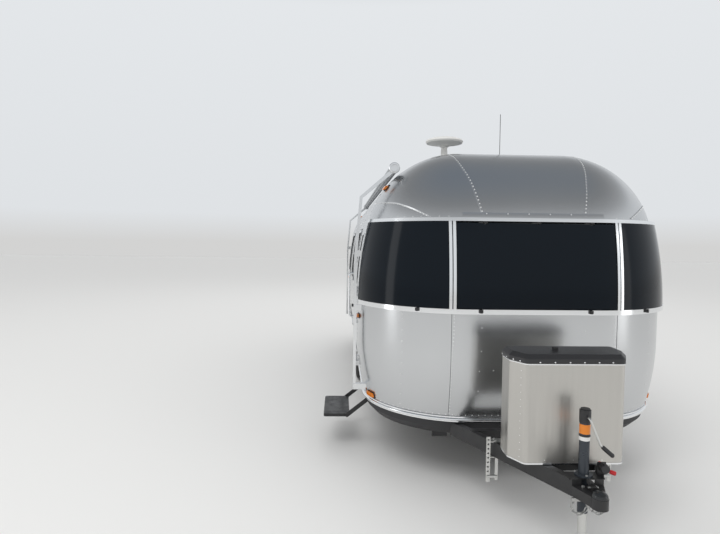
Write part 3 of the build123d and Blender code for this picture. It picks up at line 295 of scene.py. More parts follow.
zinc = shader("zinc", (0.66, 0.66, 0.64), metallic=1.0, roughness=0.35)
mottled(zinc, scale=40, low=0.28, high=0.5)
chain_metal = shader("chain_metal", (0.46, 0.46, 0.45), metallic=1.0, roughness=0.35)
mottled(chain_metal, scale=60, low=0.3, high=0.5)
chrome = shader("chrome", (0.85, 0.85, 0.86), metallic=1.0, roughness=0.08)
rail_metal = shader("rail_metal", (0.74, 0.75, 0.76), metallic=1.0, roughness=0.18)
alloy = shader("alloy", (0.68, 0.68, 0.69), metallic=1.0, roughness=0.26)
mottled(alloy, scale=6, low=0.23, high=0.30)
white_plastic = shader("white_plastic", (0.74, 0.74, 0.72), roughness=0.35)
vent_plastic = shader("vent_plastic", (0.16, 0.17, 0.18), roughness=0.3)
red_plastic = shader("red_plastic", (0.48, 0.015, 0.02), roughness=0.35)
gloss_black = shader("gloss_black", (0.018, 0.020, 0.022), roughness=0.16)
bottle_white = shader("bottle_white", (0.78, 0.78, 0.76), roughness=0.3)
amber = shader("amber_lens", (0.80, 0.22, 0.01), roughness=0.12, Transmission_Weight=0.1)
red = shader("red_lens", (0.50, 0.01, 0.01), roughness=0.12, Transmission_Weight=0.1)
orange_band = shader("orange_band", (0.72, 0.22, 0.02), roughness=0.4)
white_band = shader("white_band", (0.74, 0.74, 0.73), roughness=0.35)
floor_board = shader("floor_board", (0.42, 0.33, 0.25), roughness=0.55)
two_tone(floor_board, scale=6, one=(0.36, 0.27, 0.19), other=(0.45, 0.36, 0.27),
         stretch=(0.2, 6, 1))
rubber = shader("rubber", (0.022, 0.022, 0.023), roughness=0.75)
two_tone(rubber, scale=7, one=(0.018, 0.018, 0.018), other=(0.034, 0.033, 0.032))
bump(rubber, scale=90, strength=0.2, distance=0.002)
fabric = shader("awning_fabric", (0.42, 0.44, 0.46), roughness=0.85)
bump(fabric, scale=500, strength=0.3, distance=0.001)

# Each wheel's side and the place of its axle
wheel_places = {"curb_front": (-1, 4.280), "curb_rear": (-1, 5.120),
                "street_front": (1, 4.280), "street_rear": (1, 5.120)}
finishes = (
    (shell_metal, ["front_lower_panel", "front_cap", "rear_lower_panel", "rear_cap", "curb_wall",
                   "street_wall", "roof_panel", "door"]),
    (bright, ["window_rails", "rub_rail", "grab_handle"]),
    (rail_metal, ["window_frames", "awning_arms", "bumper", "bumper_lid"]),
    (hatch_metal, ["service_hatches"]),
    (tinted_glass, ["door_glass", "window_glass"]),
    (smoked, ["corner_guards", "centre_guard"]),
    (trim_black, ["door_handle", "guard_latches", "tongue_fittings"]),
    (steel_black, ["axles", "tongue_rails", "coupler", "step_arms", "step_tread",
                   "underbody_brackets"] + ["stabiliser_" + wheel for wheel in wheel_places]),
    (belly_black, ["belly_pan", "wheel_wells"]),
    (zinc, ["safety_chains", "jack_leg", "jack_crank", "hitch_brackets"]),
    (jack_grey, ["jack_housing"]),
    (brushed, ["gas_box"]),
    (grained_black, ["gas_lid"]),
    (bottle_white, ["gas_bottles"]),
    (fabric, ["awning_roller"]),
    (white_plastic, ["antennas", "air_conditioner", "vent_frames"]),
    (vent_plastic, ["vent_lid_front", "vent_lid_rear"]),
    (amber, ["marker_lamps"]),
    (red, ["tail_lamps"]),
    (floor_board, ["floor"]),
    (rubber, ["tyre_" + wheel for wheel in wheel_places]),
    (alloy, ["rim_" + wheel for wheel in wheel_places]),
)
for mat, names in finishes:
    for name in names:
        nodes[name].data.materials.clear()
        nodes[name].data.materials.append(mat)


def paint_part(name, mat, within):
    """Gives another finish to the faces of a CAD node whose middle passes a test."""
    mesh = nodes[name].data
    mesh.materials.append(mat)
    slot = len(mesh.materials) - 1
    for face in mesh.polygons:
        if within(face.center):
            face.material_index = slot


def is_rail_knuckle(p):
    """The fixed knuckles of the centre guard's hinge."""
    middles, half = (-0.382, 0.018, 0.418), 0.0155
    return 2.01 < p.z < 2.050 and min(abs(p.x - middle) for middle in middles) < half


# The whip antenna, the jack's head, the lid's knob and both parts of the guard's hinge are black
paint_part("antennas", trim_black, lambda p: p.x > -0.06 and p.z > 2.664)
paint_part("jack_housing", trim_black, lambda p: p.z > 0.8505)
paint_part("gas_lid", trim_black, lambda p: p.z > 1.208)
paint_part("window_rails", trim_black, is_rail_knuckle)
paint_part("centre_guard", trim_black, lambda p: p.z > 2.0305 and p.y < 0.875)

# The shell's surface: its plan is a core with corners of one radius, and its wall is a curve of
# tangent arcs, the foot that tucks in, the upright belt, the lean and the crown

core_x, core_front, core_rear, corner = 0.430, 1.674, 6.676, 0.859
sill_z, belt_low, belt_high, roof_z, crown_r = 0.534, 1.100, 1.340, 2.660, 0.803
tuck = 0.078
foot_r = ((belt_low - sill_z) ** 2 + tuck ** 2) / (2 * tuck)
lean_rise = roof_z - crown_r - belt_high
lean_r = (corner ** 2 + lean_rise ** 2 - crown_r ** 2) / (2 * (corner - crown_r))
lean_a = math.atan2(lean_rise, lean_r - corner)


def wall_at(z):
    """(how far out, outward part of the normal, upward part) of the wall at a height."""
    if z < belt_low:
        a = -math.asin((belt_low - z) / foot_r)
        return corner - foot_r + foot_r * math.cos(a), math.cos(a), math.sin(a)
    if z <= belt_high:
        return corner, 1.0, 0.0
    a = math.asin((z - belt_high) / lean_r)
    if a < lean_a:
        return corner - lean_r + lean_r * math.cos(a), math.cos(a), math.sin(a)
    a = math.asin(min(1, (z - roof_z + crown_r) / crown_r))
    return crown_r * math.cos(a), math.cos(a), math.sin(a)


def heights(low, high, step):
    """Heights at even steps along the wall curve."""
    flattest = 0.02  # keeps the steps from ending where the roof is level
    out = [low]
    z = low
    while z < high - 1e-6:
        z += step * max(wall_at(z)[1], flattest)
        if z < high:
            out.append(z)
    out.append(high)
    return out


def plan(x=None, y=None, side=1, turn=None, rear=False):
    """A place on the plan: a flat end at x, a side at y, or a corner at an angle from the end."""
    if y is not None:
        return Vector((side * core_x, y, 0)), Vector((side, 0, 0))
    toward = 1 if rear else -1
    cy = core_rear if rear else core_front
    if turn is None:
        return Vector((x, cy, 0)), Vector((0, toward, 0))
    return (Vector((side * core_x, cy, 0)),
            Vector((side * math.sin(turn), toward * math.cos(turn), 0)))


def end_place(x, z, rear=False):
    """The place on a rounded end that stands at x, at a height."""
    if abs(x) <= core_x:
        return plan(x=x, rear=rear)
    turn = math.asin(min(1, (abs(x) - core_x) / wall_at(z)[0]))
    return plan(side=math.copysign(1, x), turn=turn, rear=rear)


def skin(place, z, out=0.0):
    """The point and normal of the skin over a place, or a point that stands off it."""
    core, way = place
    r, nr, nz = wall_at(z)
    p = core + way * (r + nr * out)
    p.z = z + nz * out
    return p, way * nr + Vector((0, 0, nz))


def up_the_wall(place, z):
    """The way that leads up the wall at a place."""
    nr, nz = wall_at(z)[1:]
    return Vector((0, 0, nr)) - place[1] * nz


def round_end(z, spacing, rear, reach=1.0):
    """Places round one end at a height, an even distance apart; reach 1 is the whole half."""
    r = wall_at(z)[0]
    total = core_x + r * math.pi / 2 * reach
    n = max(2, round(total / spacing))
    out = []
    for i in range(-n, n + 1):
        along = total * abs(i) / n
        side = 1 if i > 0 else -1
        if along <= core_x:
            out.append(plan(x=side * along, rear=rear))
        else:
            out.append(plan(side=side, turn=(along - core_x) / r, rear=rear))
    return out


def along_side(side, low, high, spacing):
    """Places along a side, an even distance apart."""
    parts = max(1, round((high - low) / spacing))
    return [plan(y=y, side=side) for y in evenly(low, high, parts)]


def grown(bounds, by):
    """Bounds (low a, high a, low b, high b) that are made larger on every side."""
    low_a, high_a, low_b, high_b = bounds
    return low_a - by, high_a + by, low_b - by, high_b + by


def rounded(low_a, high_a, low_b, high_b, radius, step=0.07):
    """Points round a rectangle with rounded corners."""
    near_a, far_a, near_b, far_b = grown((low_a, high_a, low_b, high_b), -radius)
    corners = []
    for a, b, start in ((far_a, far_b, 0), (near_a, far_b, 90), (near_a, near_b, 180),
                        (far_a, near_b, 270)):
        for degrees in range(start, start + 91, 15):
            t = math.radians(degrees)
            corners.append((a + radius * math.cos(t), b + radius * math.sin(t)))
    out = []
    for i, one in enumerate(corners):
        other = corners[(i + 1) % len(corners)]
        parts = max(1, math.ceil(math.dist(one, other) / step))
        out += [(one[0] + (other[0] - one[0]) * k / parts, one[1] + (other[1] - one[1]) * k / parts)
                for k in range(parts)]
    return out


def on_side(side, points):
    """The skin's points and normals at points (y, height) of a side."""
    return [skin(plan(y=y, side=side), z) for y, z in points]


rivets = Pile()
seams = Pile()
rivet_r, rivet_height, rivet_lift = 0.0042, 0.0018, 0.0008
seam_rivet_r = 0.0056


def rivet(place, z, out=rivet_lift, radius=rivet_r):
    """A rivet of the shell over a place, at a height."""
    p, n = skin(place, z, out)
    rivets.dome(p, n, radius, 0.43 * radius)


def strip(points, across, width, rise=0.0009):
    """A thin lapped band: points with normals, and the way across at each."""
    edge = 0.03  # share of the width that slopes
    start = len(seams.verts)
    for (p, n), a in zip(points, across):
        for s, h in ((-0.5, 0.0), (-0.5 + edge, 1.0), (0.5 - edge, 1.0), (0.5, 0.0)):
            seams.verts.append(tuple(p + a * (s * width) + n * (h * rise)))
    for i in range(len(points) - 1):
        for k in range(3):
            a = start + i * 4 + k
            seams.faces.append((a, a + 1, a + 5, a + 4))


def upright_seam(place, low, high):
    """A lapped band up the wall with two rows of rivets."""
    way = place[1]
    aside = Vector((-way.y, way.x, 0))
    zs = heights(low, high, 0.05)
    strip([skin(place, z) for z in zs], [aside] * len(zs), width=0.03)
    margin, gap = 0.012, 0.034
    for row in (-0.008, 0.008):
        for z in heights(low + margin, high - margin, gap):
            p, n = skin(place, z, rivet_lift)
            rivets.dome(p + aside * row, n, rivet_r, rivet_height)


def level_seam(places, z):
    """A lapped band along the wall, just under the upright ones where they cross."""
    strip([skin(place, z) for place in places], [up_the_wall(place, z) for place in places],
          width=0.026, rise=0.0005)


def between(table, at):
    """A value read off a table of (place, value), in straight lines."""
    for (a0, v0), (a1, v1) in zip(table, table[1:]):
        if a0 <= at <= a1:
            return v0 + (v1 - v0) * (at - a0) / (a1 - a0)
    return table[0][1] if at < table[0][0] else table[-1][1]


# Seams and rivets of the rounded ends

rail_low, rail_high = 1.364, 2.072  # of the band of windows
panel_foot = 0.572
sill_row = 0.588  # the lowest row of rivets, all round
joint_x = 0.622  # where the centre panel meets the corner panels
corner_row_x = 0.967  # a wide row up the corner panels
flange_z = 2.093
top_row = 2.103  # five rivets over the windows, in front on the hinge's flange
top_row_out = {True: rivet_lift, False: 0.0028}  # by whether it is the rear
cap_top = 2.640
seam_top = 2.500
# The cap's seam as (height, x), and the seam round its corner as (degrees from the end, height)
cap_seam = [(2.09, 0.388), (2.12, 0.393), (2.24, 0.421), (2.37, 0.454), (2.485, 0.493),
            (2.56, 0.515), (2.64, 0.535)]
corner_seam = [(27.0, 2.080), (31, 2.104), (36, 2.131), (42, 2.159), (50, 2.187), (56, 2.198),
               (67, 2.208), (90, 2.220)]
# Rivets that stand alone on the centre panel, as (x, height)
lone_rivets = [(-0.402, 1.086), (-0.412, 0.936), (-0.308, 0.943), (-0.414, 0.782), (0.369, 1.244),
               (0.369, 0.94), (-0.402, 1.26), (0.41, 0.78), (0.31, 1.09)]


def cap_place(side, z, rear):
    """A place on the cap's seam."""
    return end_place(side * between(cap_seam, z), z, rear)


def corner_place(side, degrees, rear):
    """A place on the corner's seam, and its height."""
    return plan(side=side, turn=math.radians(degrees), rear=rear), between(corner_seam, degrees)


for rear in (False, True):
    for side in (1, -1):
        line = [skin(cap_place(side, z, rear), z)
                for z in heights(rail_high + 0.012, cap_top, 0.03)]
        strip(line, [n.cross(Vector((0, 0, 1))).normalized() for p, n in line], width=0.022)
        for z in heights(rail_high + 0.02, cap_top - 0.01, 0.031):
            rivet(cap_place(side, z, rear), z, radius=seam_rivet_r)
        line = [skin(*corner_place(side, degrees, rear)) for degrees in evenly(27, 90, 21)]
        strip(line, [Vector((0, 0, 1))] * len(line), width=0.020)
        for degrees in evenly(28.5, 90, 31):
            rivet(*corner_place(side, degrees, rear), radius=seam_rivet_r)
        upright_seam(plan(side=side, turn=math.pi / 2, rear=rear), panel_foot, seam_top)
        for z in heights(0.62, rail_low - 0.03, 0.085):
            rivet(end_place(side * corner_row_x, z, rear), z)
    for x in evenly(-0.36, 0.28, 4):
        rivet(plan(x=x, rear=rear), top_row, top_row_out[rear], radius=0.0048)
    for x, z in lone_rivets:
        rivet(end_place(x, z, rear), z)
    for place in round_end(sill_row, 0.05, rear):
        rivet(place, sill_row)
    row = rail_high + 0.010
    for place in round_end(row, 0.07, rear, reach=0.999):
        if abs(place[1].x) > 0.2:  # only round the corners
            rivet(place, row, radius=0.0034)
    for side in (1, -1):
        for z in heights(0.60, rail_low - 0.02, 0.028):
            spread = min(1, (1.2 - min(z, 1.2)) / 0.15)  # the rows part below 1.2 m
            rivet(end_place(side * (0.604 + 0.011 * spread), z, rear), z, radius=0.0036)

# Flange of the centre guard's hinge, above its rail
flange = Pile()
sections = []
for x in evenly(-0.54, 0.53, 24):
    place = end_place(x, flange_z)
    p, n = skin(place, flange_z)
    rise = up_the_wall(place, flange_z)
    sections.append([p + rise * s + n * h
                     for s, h in ((-0.022, -0.001), (-0.022, 0.003), (0.015, 0.003),
                                  (0.019, 0.001), (0.019, -0.001))])
flange.ring(sections)
flange.done("hinge_flange", rail_metal)

panel_joints = Pile()
for rear in (False, True):
    for side in (1, -1):
        line = [skin(end_place(side * joint_x, z, rear), z)
                for z in heights(0.575, rail_low - 0.002, 0.03)]
        panel_joints.band(line, width=0.0035, low=-0.0005, high=0.0007, close=False)

# Seams, rivets and openings of the sides

door = (1.700, 2.360, 0.590, 2.330)  # low y, high y, low z, high z
door_corner = 0.120
door_pane = (1.850, 2.210, 1.488, 1.952)
window_low, window_high = 1.450, 1.985
windows = [(-1, 2.830, 0.640), (-1, 3.760, 0.640), (-1, 5.420, 0.900),
           (1, 2.200, 0.900), (1, 3.360, 0.640), (1, 5.620, 0.900)]  # side, middle y, width
hatches = [(1, (3.100, 3.500, 0.640, 1.120)), (1, (1.815, 2.155, 0.640, 0.900)),
           (1, (5.715, 6.115, 0.640, 0.960)), (-1, (2.695, 3.055, 0.640, 0.900)),
           (-1, (5.675, 6.235, 0.640, 0.980))]
# Places of the upright seams on each side, of the rivets over the roof, and heights of level rows
side_seams = {1: (2.45, 3.60, 4.28, 5.10, 6.26), -1: (2.45, 3.29, 4.28, 5.10, 6.26)}
roof_rows = (2.45, 3.29, 5.10, 6.26)
level_rows = (1.15, 2.10, sill_row, seam_top)

# What interrupts each side's seams and rivets, with a margin: arches, door, windows, hatches
cuts = {side: [(3.803, 5.597, 0, 0.945)] for side in (1, -1)}
cuts[-1].append((1.670, 2.390, 0.570, 2.350))
for side, middle, width in windows:
    cuts[side].append((middle - width / 2 - 0.04, middle + width / 2 + 0.04, 1.40, 2.03))
for side, hatch in hatches:
    cuts[side].append(grown(hatch, 0.025))


def free(side, y, z):
    """True where the side has plain skin."""
    return not any(low_y < y < high_y and low_z < z < high_z
                   for low_y, high_y, low_z, high_z in cuts[side])


def free_spans(side, y):
    """The (low, high) heights of plain skin up a side."""
    spans = []
    start = last = None
    for z in heights(panel_foot, 2.62, 0.02):
        if free(side, y, z):
            start = z if start is None else start
            last = z
        elif start is not None:
            spans.append((start, last))
            start = None
    if start is not None:
        spans.append((start, last))
    return spans


def free_runs(side, z):
    """The runs of places with plain skin along a side."""
    runs = [[]]
    for place in along_side(side, core_front + 0.03, core_rear - 0.03, 0.045):
        if free(side, place[0].y, z):
            runs[-1].append(place)
        else:
            runs.append([])
    return runs


for side in (1, -1):
    for y in side_seams[side]:
        for low, high in free_spans(side, y):
            if high - low > 0.1:
                upright_seam(plan(y=y, side=side), low, high)
    for z in level_rows:
        for run in free_runs(side, z):
            for place in run:
                rivet(place, z)
            if len(run) > 2 and z != sill_row:
                level_seam(run, z)
for y in roof_rows:
    for x in evenly(-0.41, 0.41, 23):
        rivets.dome((x, y, roof_z), (0, 0, 1), rivet_r, rivet_height)

gaskets = Pile()
for side, middle, width in windows:
    window = (middle - width / 2, middle + width / 2, window_low, window_high)
    gaskets.band(on_side(side, rounded(*grown(window, -0.005), radius=0.056)),
                 width=0.010, low=-0.013, high=0.004)
    gaskets.band(on_side(side, rounded(*grown(window, 0.032), radius=0.090)),
                 width=0.008, low=0.0004, high=0.004)
locks = Pile()
lid_face = 0.0068  # how far a hatch's face stands out
for side, hatch in hatches:
    low_y, high_y, low_z, high_z = hatch
    gaskets.band(on_side(side, rounded(*grown(hatch, 0.004), radius=0.032)),
                 width=0.008, low=0.0004, high=0.004)
    for y in (low_y + 0.05, high_y - 0.05):
        locks.turned(*skin(plan(y=y, side=side), low_z + 0.032, lid_face),
                     [(0.013, 0), (0.013, 0.003), (0.010, 0.0045), (0.004, 0.0045), (0, 0.0045)],
                     sides=16)
        rivets.dome(*skin(plan(y=y, side=side), high_z - 0.016, lid_face),
                    radius=0.005, height=0.002, sides=8)

# Door: a dark seal in its gap, rivets round its edge, its window's trim and seal, and a lock
gap = 0.0035
gaskets.band(on_side(-1, rounded(*grown(door, -gap), door_corner - gap)),
             width=0.006, low=-0.020, high=-0.004)
door_rivets = Pile()
inset = 0.024
for p, n in on_side(-1, rounded(*grown(door, -inset), door_corner - inset, step=0.042)):
    door_rivets.dome(p, n, radius=0.0040, height=rivet_height)
door_rivets.done("door_rivets", rivet_metal, "door")
door_trim = Pile()
door_trim.band(on_side(-1, rounded(*grown(door_pane, 0.008), radius=0.050)),
               width=0.020, low=-0.002, high=0.004)
door_trim.done("door_window_trim", rail_metal, "door")
door_seal = Pile()
door_seal.band(on_side(-1, rounded(*door_pane, radius=0.044)),
               width=0.008, low=-0.013, high=-0.001)
door_seal.done("door_window_seal", gasket, "door")
turned_piece("door_lock", chrome, *skin(plan(y=2.283, side=-1), 1.395),
             [(0.019, 0), (0.019, 0.004), (0.015, 0.008), (0.006, 0.008), (0.006, 0.006),
              (0, 0.006)], body="door")

rivets.done("rivets", rivet_metal)
seams.done("panel_seams", seam_metal)
panel_joints.done("panel_joints", seam_dark)
locks.done("hatch_locks", trim_black)

# Lamps: dark bases round the side lamps, bright rims round the tail lamps, a blank plate

# How far in from the end, height, half length and half height
side_lamps = [(0.565, 0.606, 0.046, 0.017), (0.745, 2.350, 0.030, 0.016),
              (0.745, 1.245, 0.034, 0.013)]
for side in (1, -1):
    for inset, z, half_length, half_height in side_lamps:
        lamp_bounds = (-half_length, half_length, z - half_height, z + half_height)
        for rear in (False, True):
            places = []
            for along, height in rounded(*grown(lamp_bounds, 0.004), radius=0.006):
                away = corner - inset + (along if rear else -along)
                turn = math.pi / 2 - math.asin(away / wall_at(height)[0])
                places.append(skin(plan(side=side, turn=turn, rear=rear), height))
            gaskets.band(places, width=0.010, low=-0.001, high=0.005)
gaskets.done("gaskets", gasket)

lamp_rims = Pile()
for side in (1, -1):
    low_x, high_x = sorted((side * 0.636, side * 0.804))
    for z in (0.820, 0.930, 1.040):
        outline = rounded(low_x, high_x, z - 0.052, z + 0.052, radius=0.012)
        lamp_rims.band([skin(end_place(x, height, rear=True), height) for x, height in outline],
                       width=0.010, low=-0.001, high=0.012)
lamp_rims.done("lamp_rims", chrome)
box_piece("plate_holder", trim_black, (-0.160, 7.5352, 1.135), (0.160, 7.5392, 1.255))
box_piece("blank_plate", white_band, (-0.152, 7.5392, 1.143), (0.152, 7.5408, 1.247))

# Wheels: tyres with their tread, hub caps and valves

wheel_r, wheel_in = 0.362, 0.993  # radius, and x of a tyre's inner face
# Half of a tyre's outline as (across from the middle, radius, kind of tread)
half_tread = [(0, 0.3620, 3), (0.0175, 0.3619, 3), (0.0185, 0.3545, 0), (0.0255, 0.3543, 0),
              (0.0265, 0.3616, 2), (0.0545, 0.3602, 2), (0.0555, 0.3528, 0), (0.0635, 0.3524, 0),
              (0.0645, 0.3596, 1), (0.0860, 0.3562, 1), (0.0955, 0.3495, 1), (0.1020, 0.3380, 4),
              (0.1075, 0.3180, 0), (0.1100, 0.3000, 0), (0.1108, 0.2840, 0), (0.1108, 0.2780, 0),
              (0.1100, 0.2760, 0), (0.1100, 0.2560, 0), (0.1080, 0.2540, 0), (0.1050, 0.2300, 0),
              (0.1000, 0.2130, 0), (0.0900, 0.2072, 0)]
tyre_profile = [(-a, r, kind) for a, r, kind in reversed(half_tread[1:])] + half_tread
# Stations along a pitch of the tread: how far, and whether the first and the second cut are there
stations = [(0.0, 0, 0), (0.025, 1, 0), (0.17, 1, 0), (0.195, 0, 0), (0.5, 0, 0), (0.525, 0, 1),
            (0.66, 0, 1), (0.685, 0, 0)]
# Depths of both cuts for each kind of tread
depths = {0: (0, 0), 1: (0.0075, 0), 2: (0, 0.0055), 3: (0.003, 0), 4: (0.0035, 0)}
pitches = 56
for wheel, (side, y) in wheel_places.items():
    sections = []
    middle_x = side * (wheel_in + 0.111)
    for pitch in range(pitches):
        for part, first, second in stations:
            t = 2 * math.pi * (pitch + part) / pitches
            section = []
            for across, radius, kind in tyre_profile:
                r = radius - depths[kind][0] * first - depths[kind][1] * second
                section.append((middle_x + across, y + r * math.cos(t), wheel_r + r * math.sin(t)))
            sections.append(section)
    pile = Pile()
    pile.ring(sections, close=True)
    tyre = pile.done("treaded_" + wheel, rubber, "wheel_" + wheel, crease=40)
    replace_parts(tyre, "tyre_" + wheel)
    turned_piece("hub_cap_" + wheel, trim_black, (side * (wheel_in + 0.1965), y, wheel_r),
                 (side, 0, 0), [(0.024, -0.002), (0.024, 0.002), (0.020, 0.006), (0.0, 0.0075)],
                 body="wheel_" + wheel)
    turned_piece("valve_" + wheel, trim_black, (side * (wheel_in + 0.184), y + 0.176, wheel_r),
                 (side, 0, 0), [(0.0042, 0), (0.0042, 0.016), (0.003, 0.018)],
                 sides=10, body="wheel_" + wheel)

# Safety chains of round links, hung as in the CAD

chain = Pile()
chain_y, bar_z, half_span, sag = -0.080, 0.404, 0.035, 0.075
inner_x, outer_x = 0.022, 0.092  # of each chain's ends
loop_radius = (half_span ** 2 + sag ** 2) / (2 * sag)
reach = math.pi - math.asin(half_span / loop_radius)
links = round(2 * reach * loop_radius / 0.022)
half_turn = [math.pi * k / 8 for k in range(9)]
link_half, link_r, wire_r = 0.007, 0.0075, 0.0034
for side in (1, -1):
    for i in range(links):
        turn = reach * (2 * i / (links - 1) - 1)
        middle = Vector((side * (inner_x + half_span + loop_radius * math.sin(turn)), chain_y,
                         bar_z + loop_radius - sag - loop_radius * math.cos(turn)))
        along = Vector((side * math.cos(turn), 0, math.sin(turn)))
        across = Vector((0, 1, 0)) if i % 2 else Vector((-side * math.sin(turn), 0, math.cos(turn)))
        path = []
        for end in (1, -1):
            path += [middle + along * end * (link_half + link_r * math.sin(a))
                     + across * end * link_r * math.cos(a) for a in half_turn]
        chain.tube(path, wire_r, sides=8, close=True)
chain.box((-0.104, -0.086, bar_z), (0.104, -0.074, 0.424))  # the bar that carries the eyes
eye_r = 0.011
for x in (-outer_x, -inner_x, inner_x, outer_x):
    chain.tube([(x + eye_r * math.cos(a), chain_y, bar_z - 0.001 - eye_r * math.sin(a))
                for a in half_turn], radius=0.004, sides=8)
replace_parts(chain.done("round_chains", chain_metal), "safety_chains")

# Jack: coloured bands on its tube, a plug on its head and a grip on its crank

tube_r = 0.0299
sleeve_piece("orange_band", orange_band, tube_r, 0.0306, 0.773, 0.829)
sleeve_piece("white_band", white_band, tube_r, 0.0308, 0.733, 0.757)
grips = Pile()
for low, high in ((0.757, 0.764), (0.838, 0.850)):
    grips.sleeve((0, 0, 0), (0, 0, 1), tube_r, 0.0325, low, high)
grips.turned((0, -0.0320, 0.876), (0, -1, 0),
             [(0.012, 0), (0.012, 0.006), (0.009, 0.009), (0.007, 0.009)], sides=20)
crank_bend, crank_end = Vector((0.064, -0.0654, 0.724)), Vector((0.134, -0.0674, 0.664))
way = (crank_end - crank_bend).normalized()
length = (crank_end - crank_bend).length
grips.turned(crank_bend + way * length * 0.12, way,
             [(0.0075, 0), (0.0105, 0.004), (0.0125, 0.012), (0.0125, length * 0.80),
              (0.0135, length * 0.88), (0.0105, length * 0.96), (0, length)], sides=20)
grips.done("jack_grips", grained_black)

# Bottle box: bright lips, studs along the lid and rivets down its sides

nose_x, side_x, front_y, bend_y, back_y = 0.306, 0.372, 0.138, 0.263, 0.438
slant_x, slant_y = side_x - nose_x, bend_y - front_y
box_plan = [(-nose_x, front_y), (nose_x, front_y), (side_x, bend_y), (side_x, back_y),
            (-side_x, back_y), (-side_x, bend_y)]
box_corner = 0.038
lid_out = 0.004  # how far the lid stands out over the box
stud_z, stud_r, stud_height = 1.160, 0.0055, 0.0032


def round_polygon(points, radius, steps=6):
    """A polygon with rounded corners, each point with its outward way."""
    out = []
    for i, b in enumerate(points):
        a, c = points[i - 1], points[(i + 1) % len(points)]
        u = (Vector(a) - Vector(b)).normalized()
        v = (Vector(c) - Vector(b)).normalized()
        half = math.acos(max(-1, min(1, u.dot(v)))) / 2
        centre = Vector(b) + (u + v).normalized() * radius / math.sin(half)
        one = (Vector(b) + u * radius / math.tan(half) - centre).normalized()
        other = (Vector(b) + v * radius / math.tan(half) - centre).normalized()
        for k in range(steps + 1):
            w = (one * (1 - k / steps) + other * (k / steps)).normalized()
            out.append((centre + w * radius, w))
    return out


def box_loop(z):
    """Places and normals round the box at a height."""
    return [(Vector((p.x, p.y, z)), Vector((w.x, w.y, 0)))
            for p, w in round_polygon(box_plan, box_corner)]


def on_slant(side, share, z):
    """A place on the box's slanted side, a share of the way back, and its normal."""
    p = Vector((side * (nose_x + slant_x * share), front_y + slant_y * share, z))
    return p, Vector((side * slant_y, -slant_x, 0)).normalized()


lips = Pile()
lips.band(box_loop(0.530), width=0.010, low=-0.0005, high=0.0022)
lips.band(box_loop(1.146), width=0.006, low=-0.0005, high=0.0015)
lips.done("box_lips", bright)
studs = Pile()
for x in (-0.223, -0.130, -0.037, 0.052, 0.143, 0.229):
    studs.dome((x, front_y - lid_out, stud_z), (0, -1, 0), stud_r, stud_height, sides=10)
for side in (1, -1):
    for share in (0.35, 0.75):
        p, n = on_slant(side, share, stud_z)
        studs.dome(p + n * lid_out, n, stud_r, stud_height, sides=10)
    for y in (0.31, 0.40):
        studs.dome((side * (side_x + lid_out), y, stud_z), (side, 0, 0), stud_r, stud_height,
                   sides=10)
studs.done("lid_studs", chrome, "gas_lid")
box_rivets = Pile()
for side in (1, -1):
    for z in evenly(0.56, 1.10, 12):
        box_rivets.dome(*on_slant(side, 0.30, z), radius=0.0030, height=0.0014)
for x in (-0.18, 0, 0.18):
    box_rivets.dome((x, front_y, 0.552), (0, -1, 0), radius=0.0034, height=0.0016)
box_rivets.done("box_rivets", rivet_metal)

# Tongue: bolts, weld beads, the coupler's cap, the breakaway switch and the plug's lid

rail_slope = math.tan(math.radians(27))


def rail_x(y):
    """How far a tongue rail's middle is from the centre line."""
    return rail_slope * (y + 0.190)


bolts = Pile()
for x, y in ((0.040, 0.024), (-0.040, 0.024), (0, -0.042)):
    bolts.hexagon((x, y, 0.532), (0, 0, 1), across=0.013, height=0.006)
for x in (0.036, -0.036):
    bolts.hexagon((x, -0.078, 0.484), (0, 0, 1), across=0.017, height=0.009)
bolts.turned((-0.030, -0.124, 0.503), (1, 0, 0), [(0.0055, 0), (0.0055, 0.060)], sides=12)
for side in (1, -1):
    x = side * (rail_x(0.540) + 0.02806)
    for y in (0.522, 0.558):
        bolts.hexagon((x - side * 0.030, y, 0.528), (0, 0, 1), across=0.014, height=0.007)
bolts.done("bolts", zinc)
turned_piece("coupler_dome", gloss_black, (0, -0.205, 0.484), (0, 0, 1),
             [(0.0438, 0), (0.0436, 0.008), (0.0415, 0.017), (0.036, 0.025), (0.027, 0.0315),
              (0.015, 0.0355), (0, 0.037)], sides=40)
fittings_x = rail_x(0.006)
turned_piece("switch_cap", red, (fittings_x + 0.016, 0.038, 0.562), (0, 0, 1),
             [(0.0105, 0), (0.0125, 0.004), (0.0125, 0.016), (0.008, 0.022), (0, 0.023)],
             sides=16)
pin_start, pin_way = (fittings_x + 0.032, -0.014, 0.553), (0.88, -0.42, -0.22)
turned_piece("switch_collar", white_plastic, pin_start, pin_way,
             [(0.0135, 0), (0.0145, 0.003), (0.0145, 0.013), (0.0125, 0.015)], sides=20)
turned_piece("switch_pin", red_plastic, pin_start, pin_way,
             [(0.0115, 0.010), (0.0115, 0.020), (0.0130, 0.024), (0.0130, 0.046), (0.0105, 0.051),
              (0, 0.052)], sides=20)
plug = Pile()
plug.turned((fittings_x + 0.012, -0.036, 0.570), (0, -1, 0),
            [(0.024, 0), (0.027, 0.001), (0.027, 0.006), (0.024, 0.009), (0, 0.010)])
plug.box((fittings_x + 0.004, -0.046, 0.592), (fittings_x + 0.020, -0.014, 0.600))
plug.done("plug_lid", grained_black)
welds = Pile()
for side in (1, -1):
    for y in (0.176, 0.220, 0.366, 0.410, 0.725, 0.785):
        x = side * (rail_x(y) - 0.029)
        welds.tube([(x, y, z) for z in evenly(0.472, 0.520, 8)], radius=0.0035, sides=6)
welds.done("weld_beads", steel_black)

# Awning: end caps, bolts on the arms and the roll's hems; feet of the door's grab handle

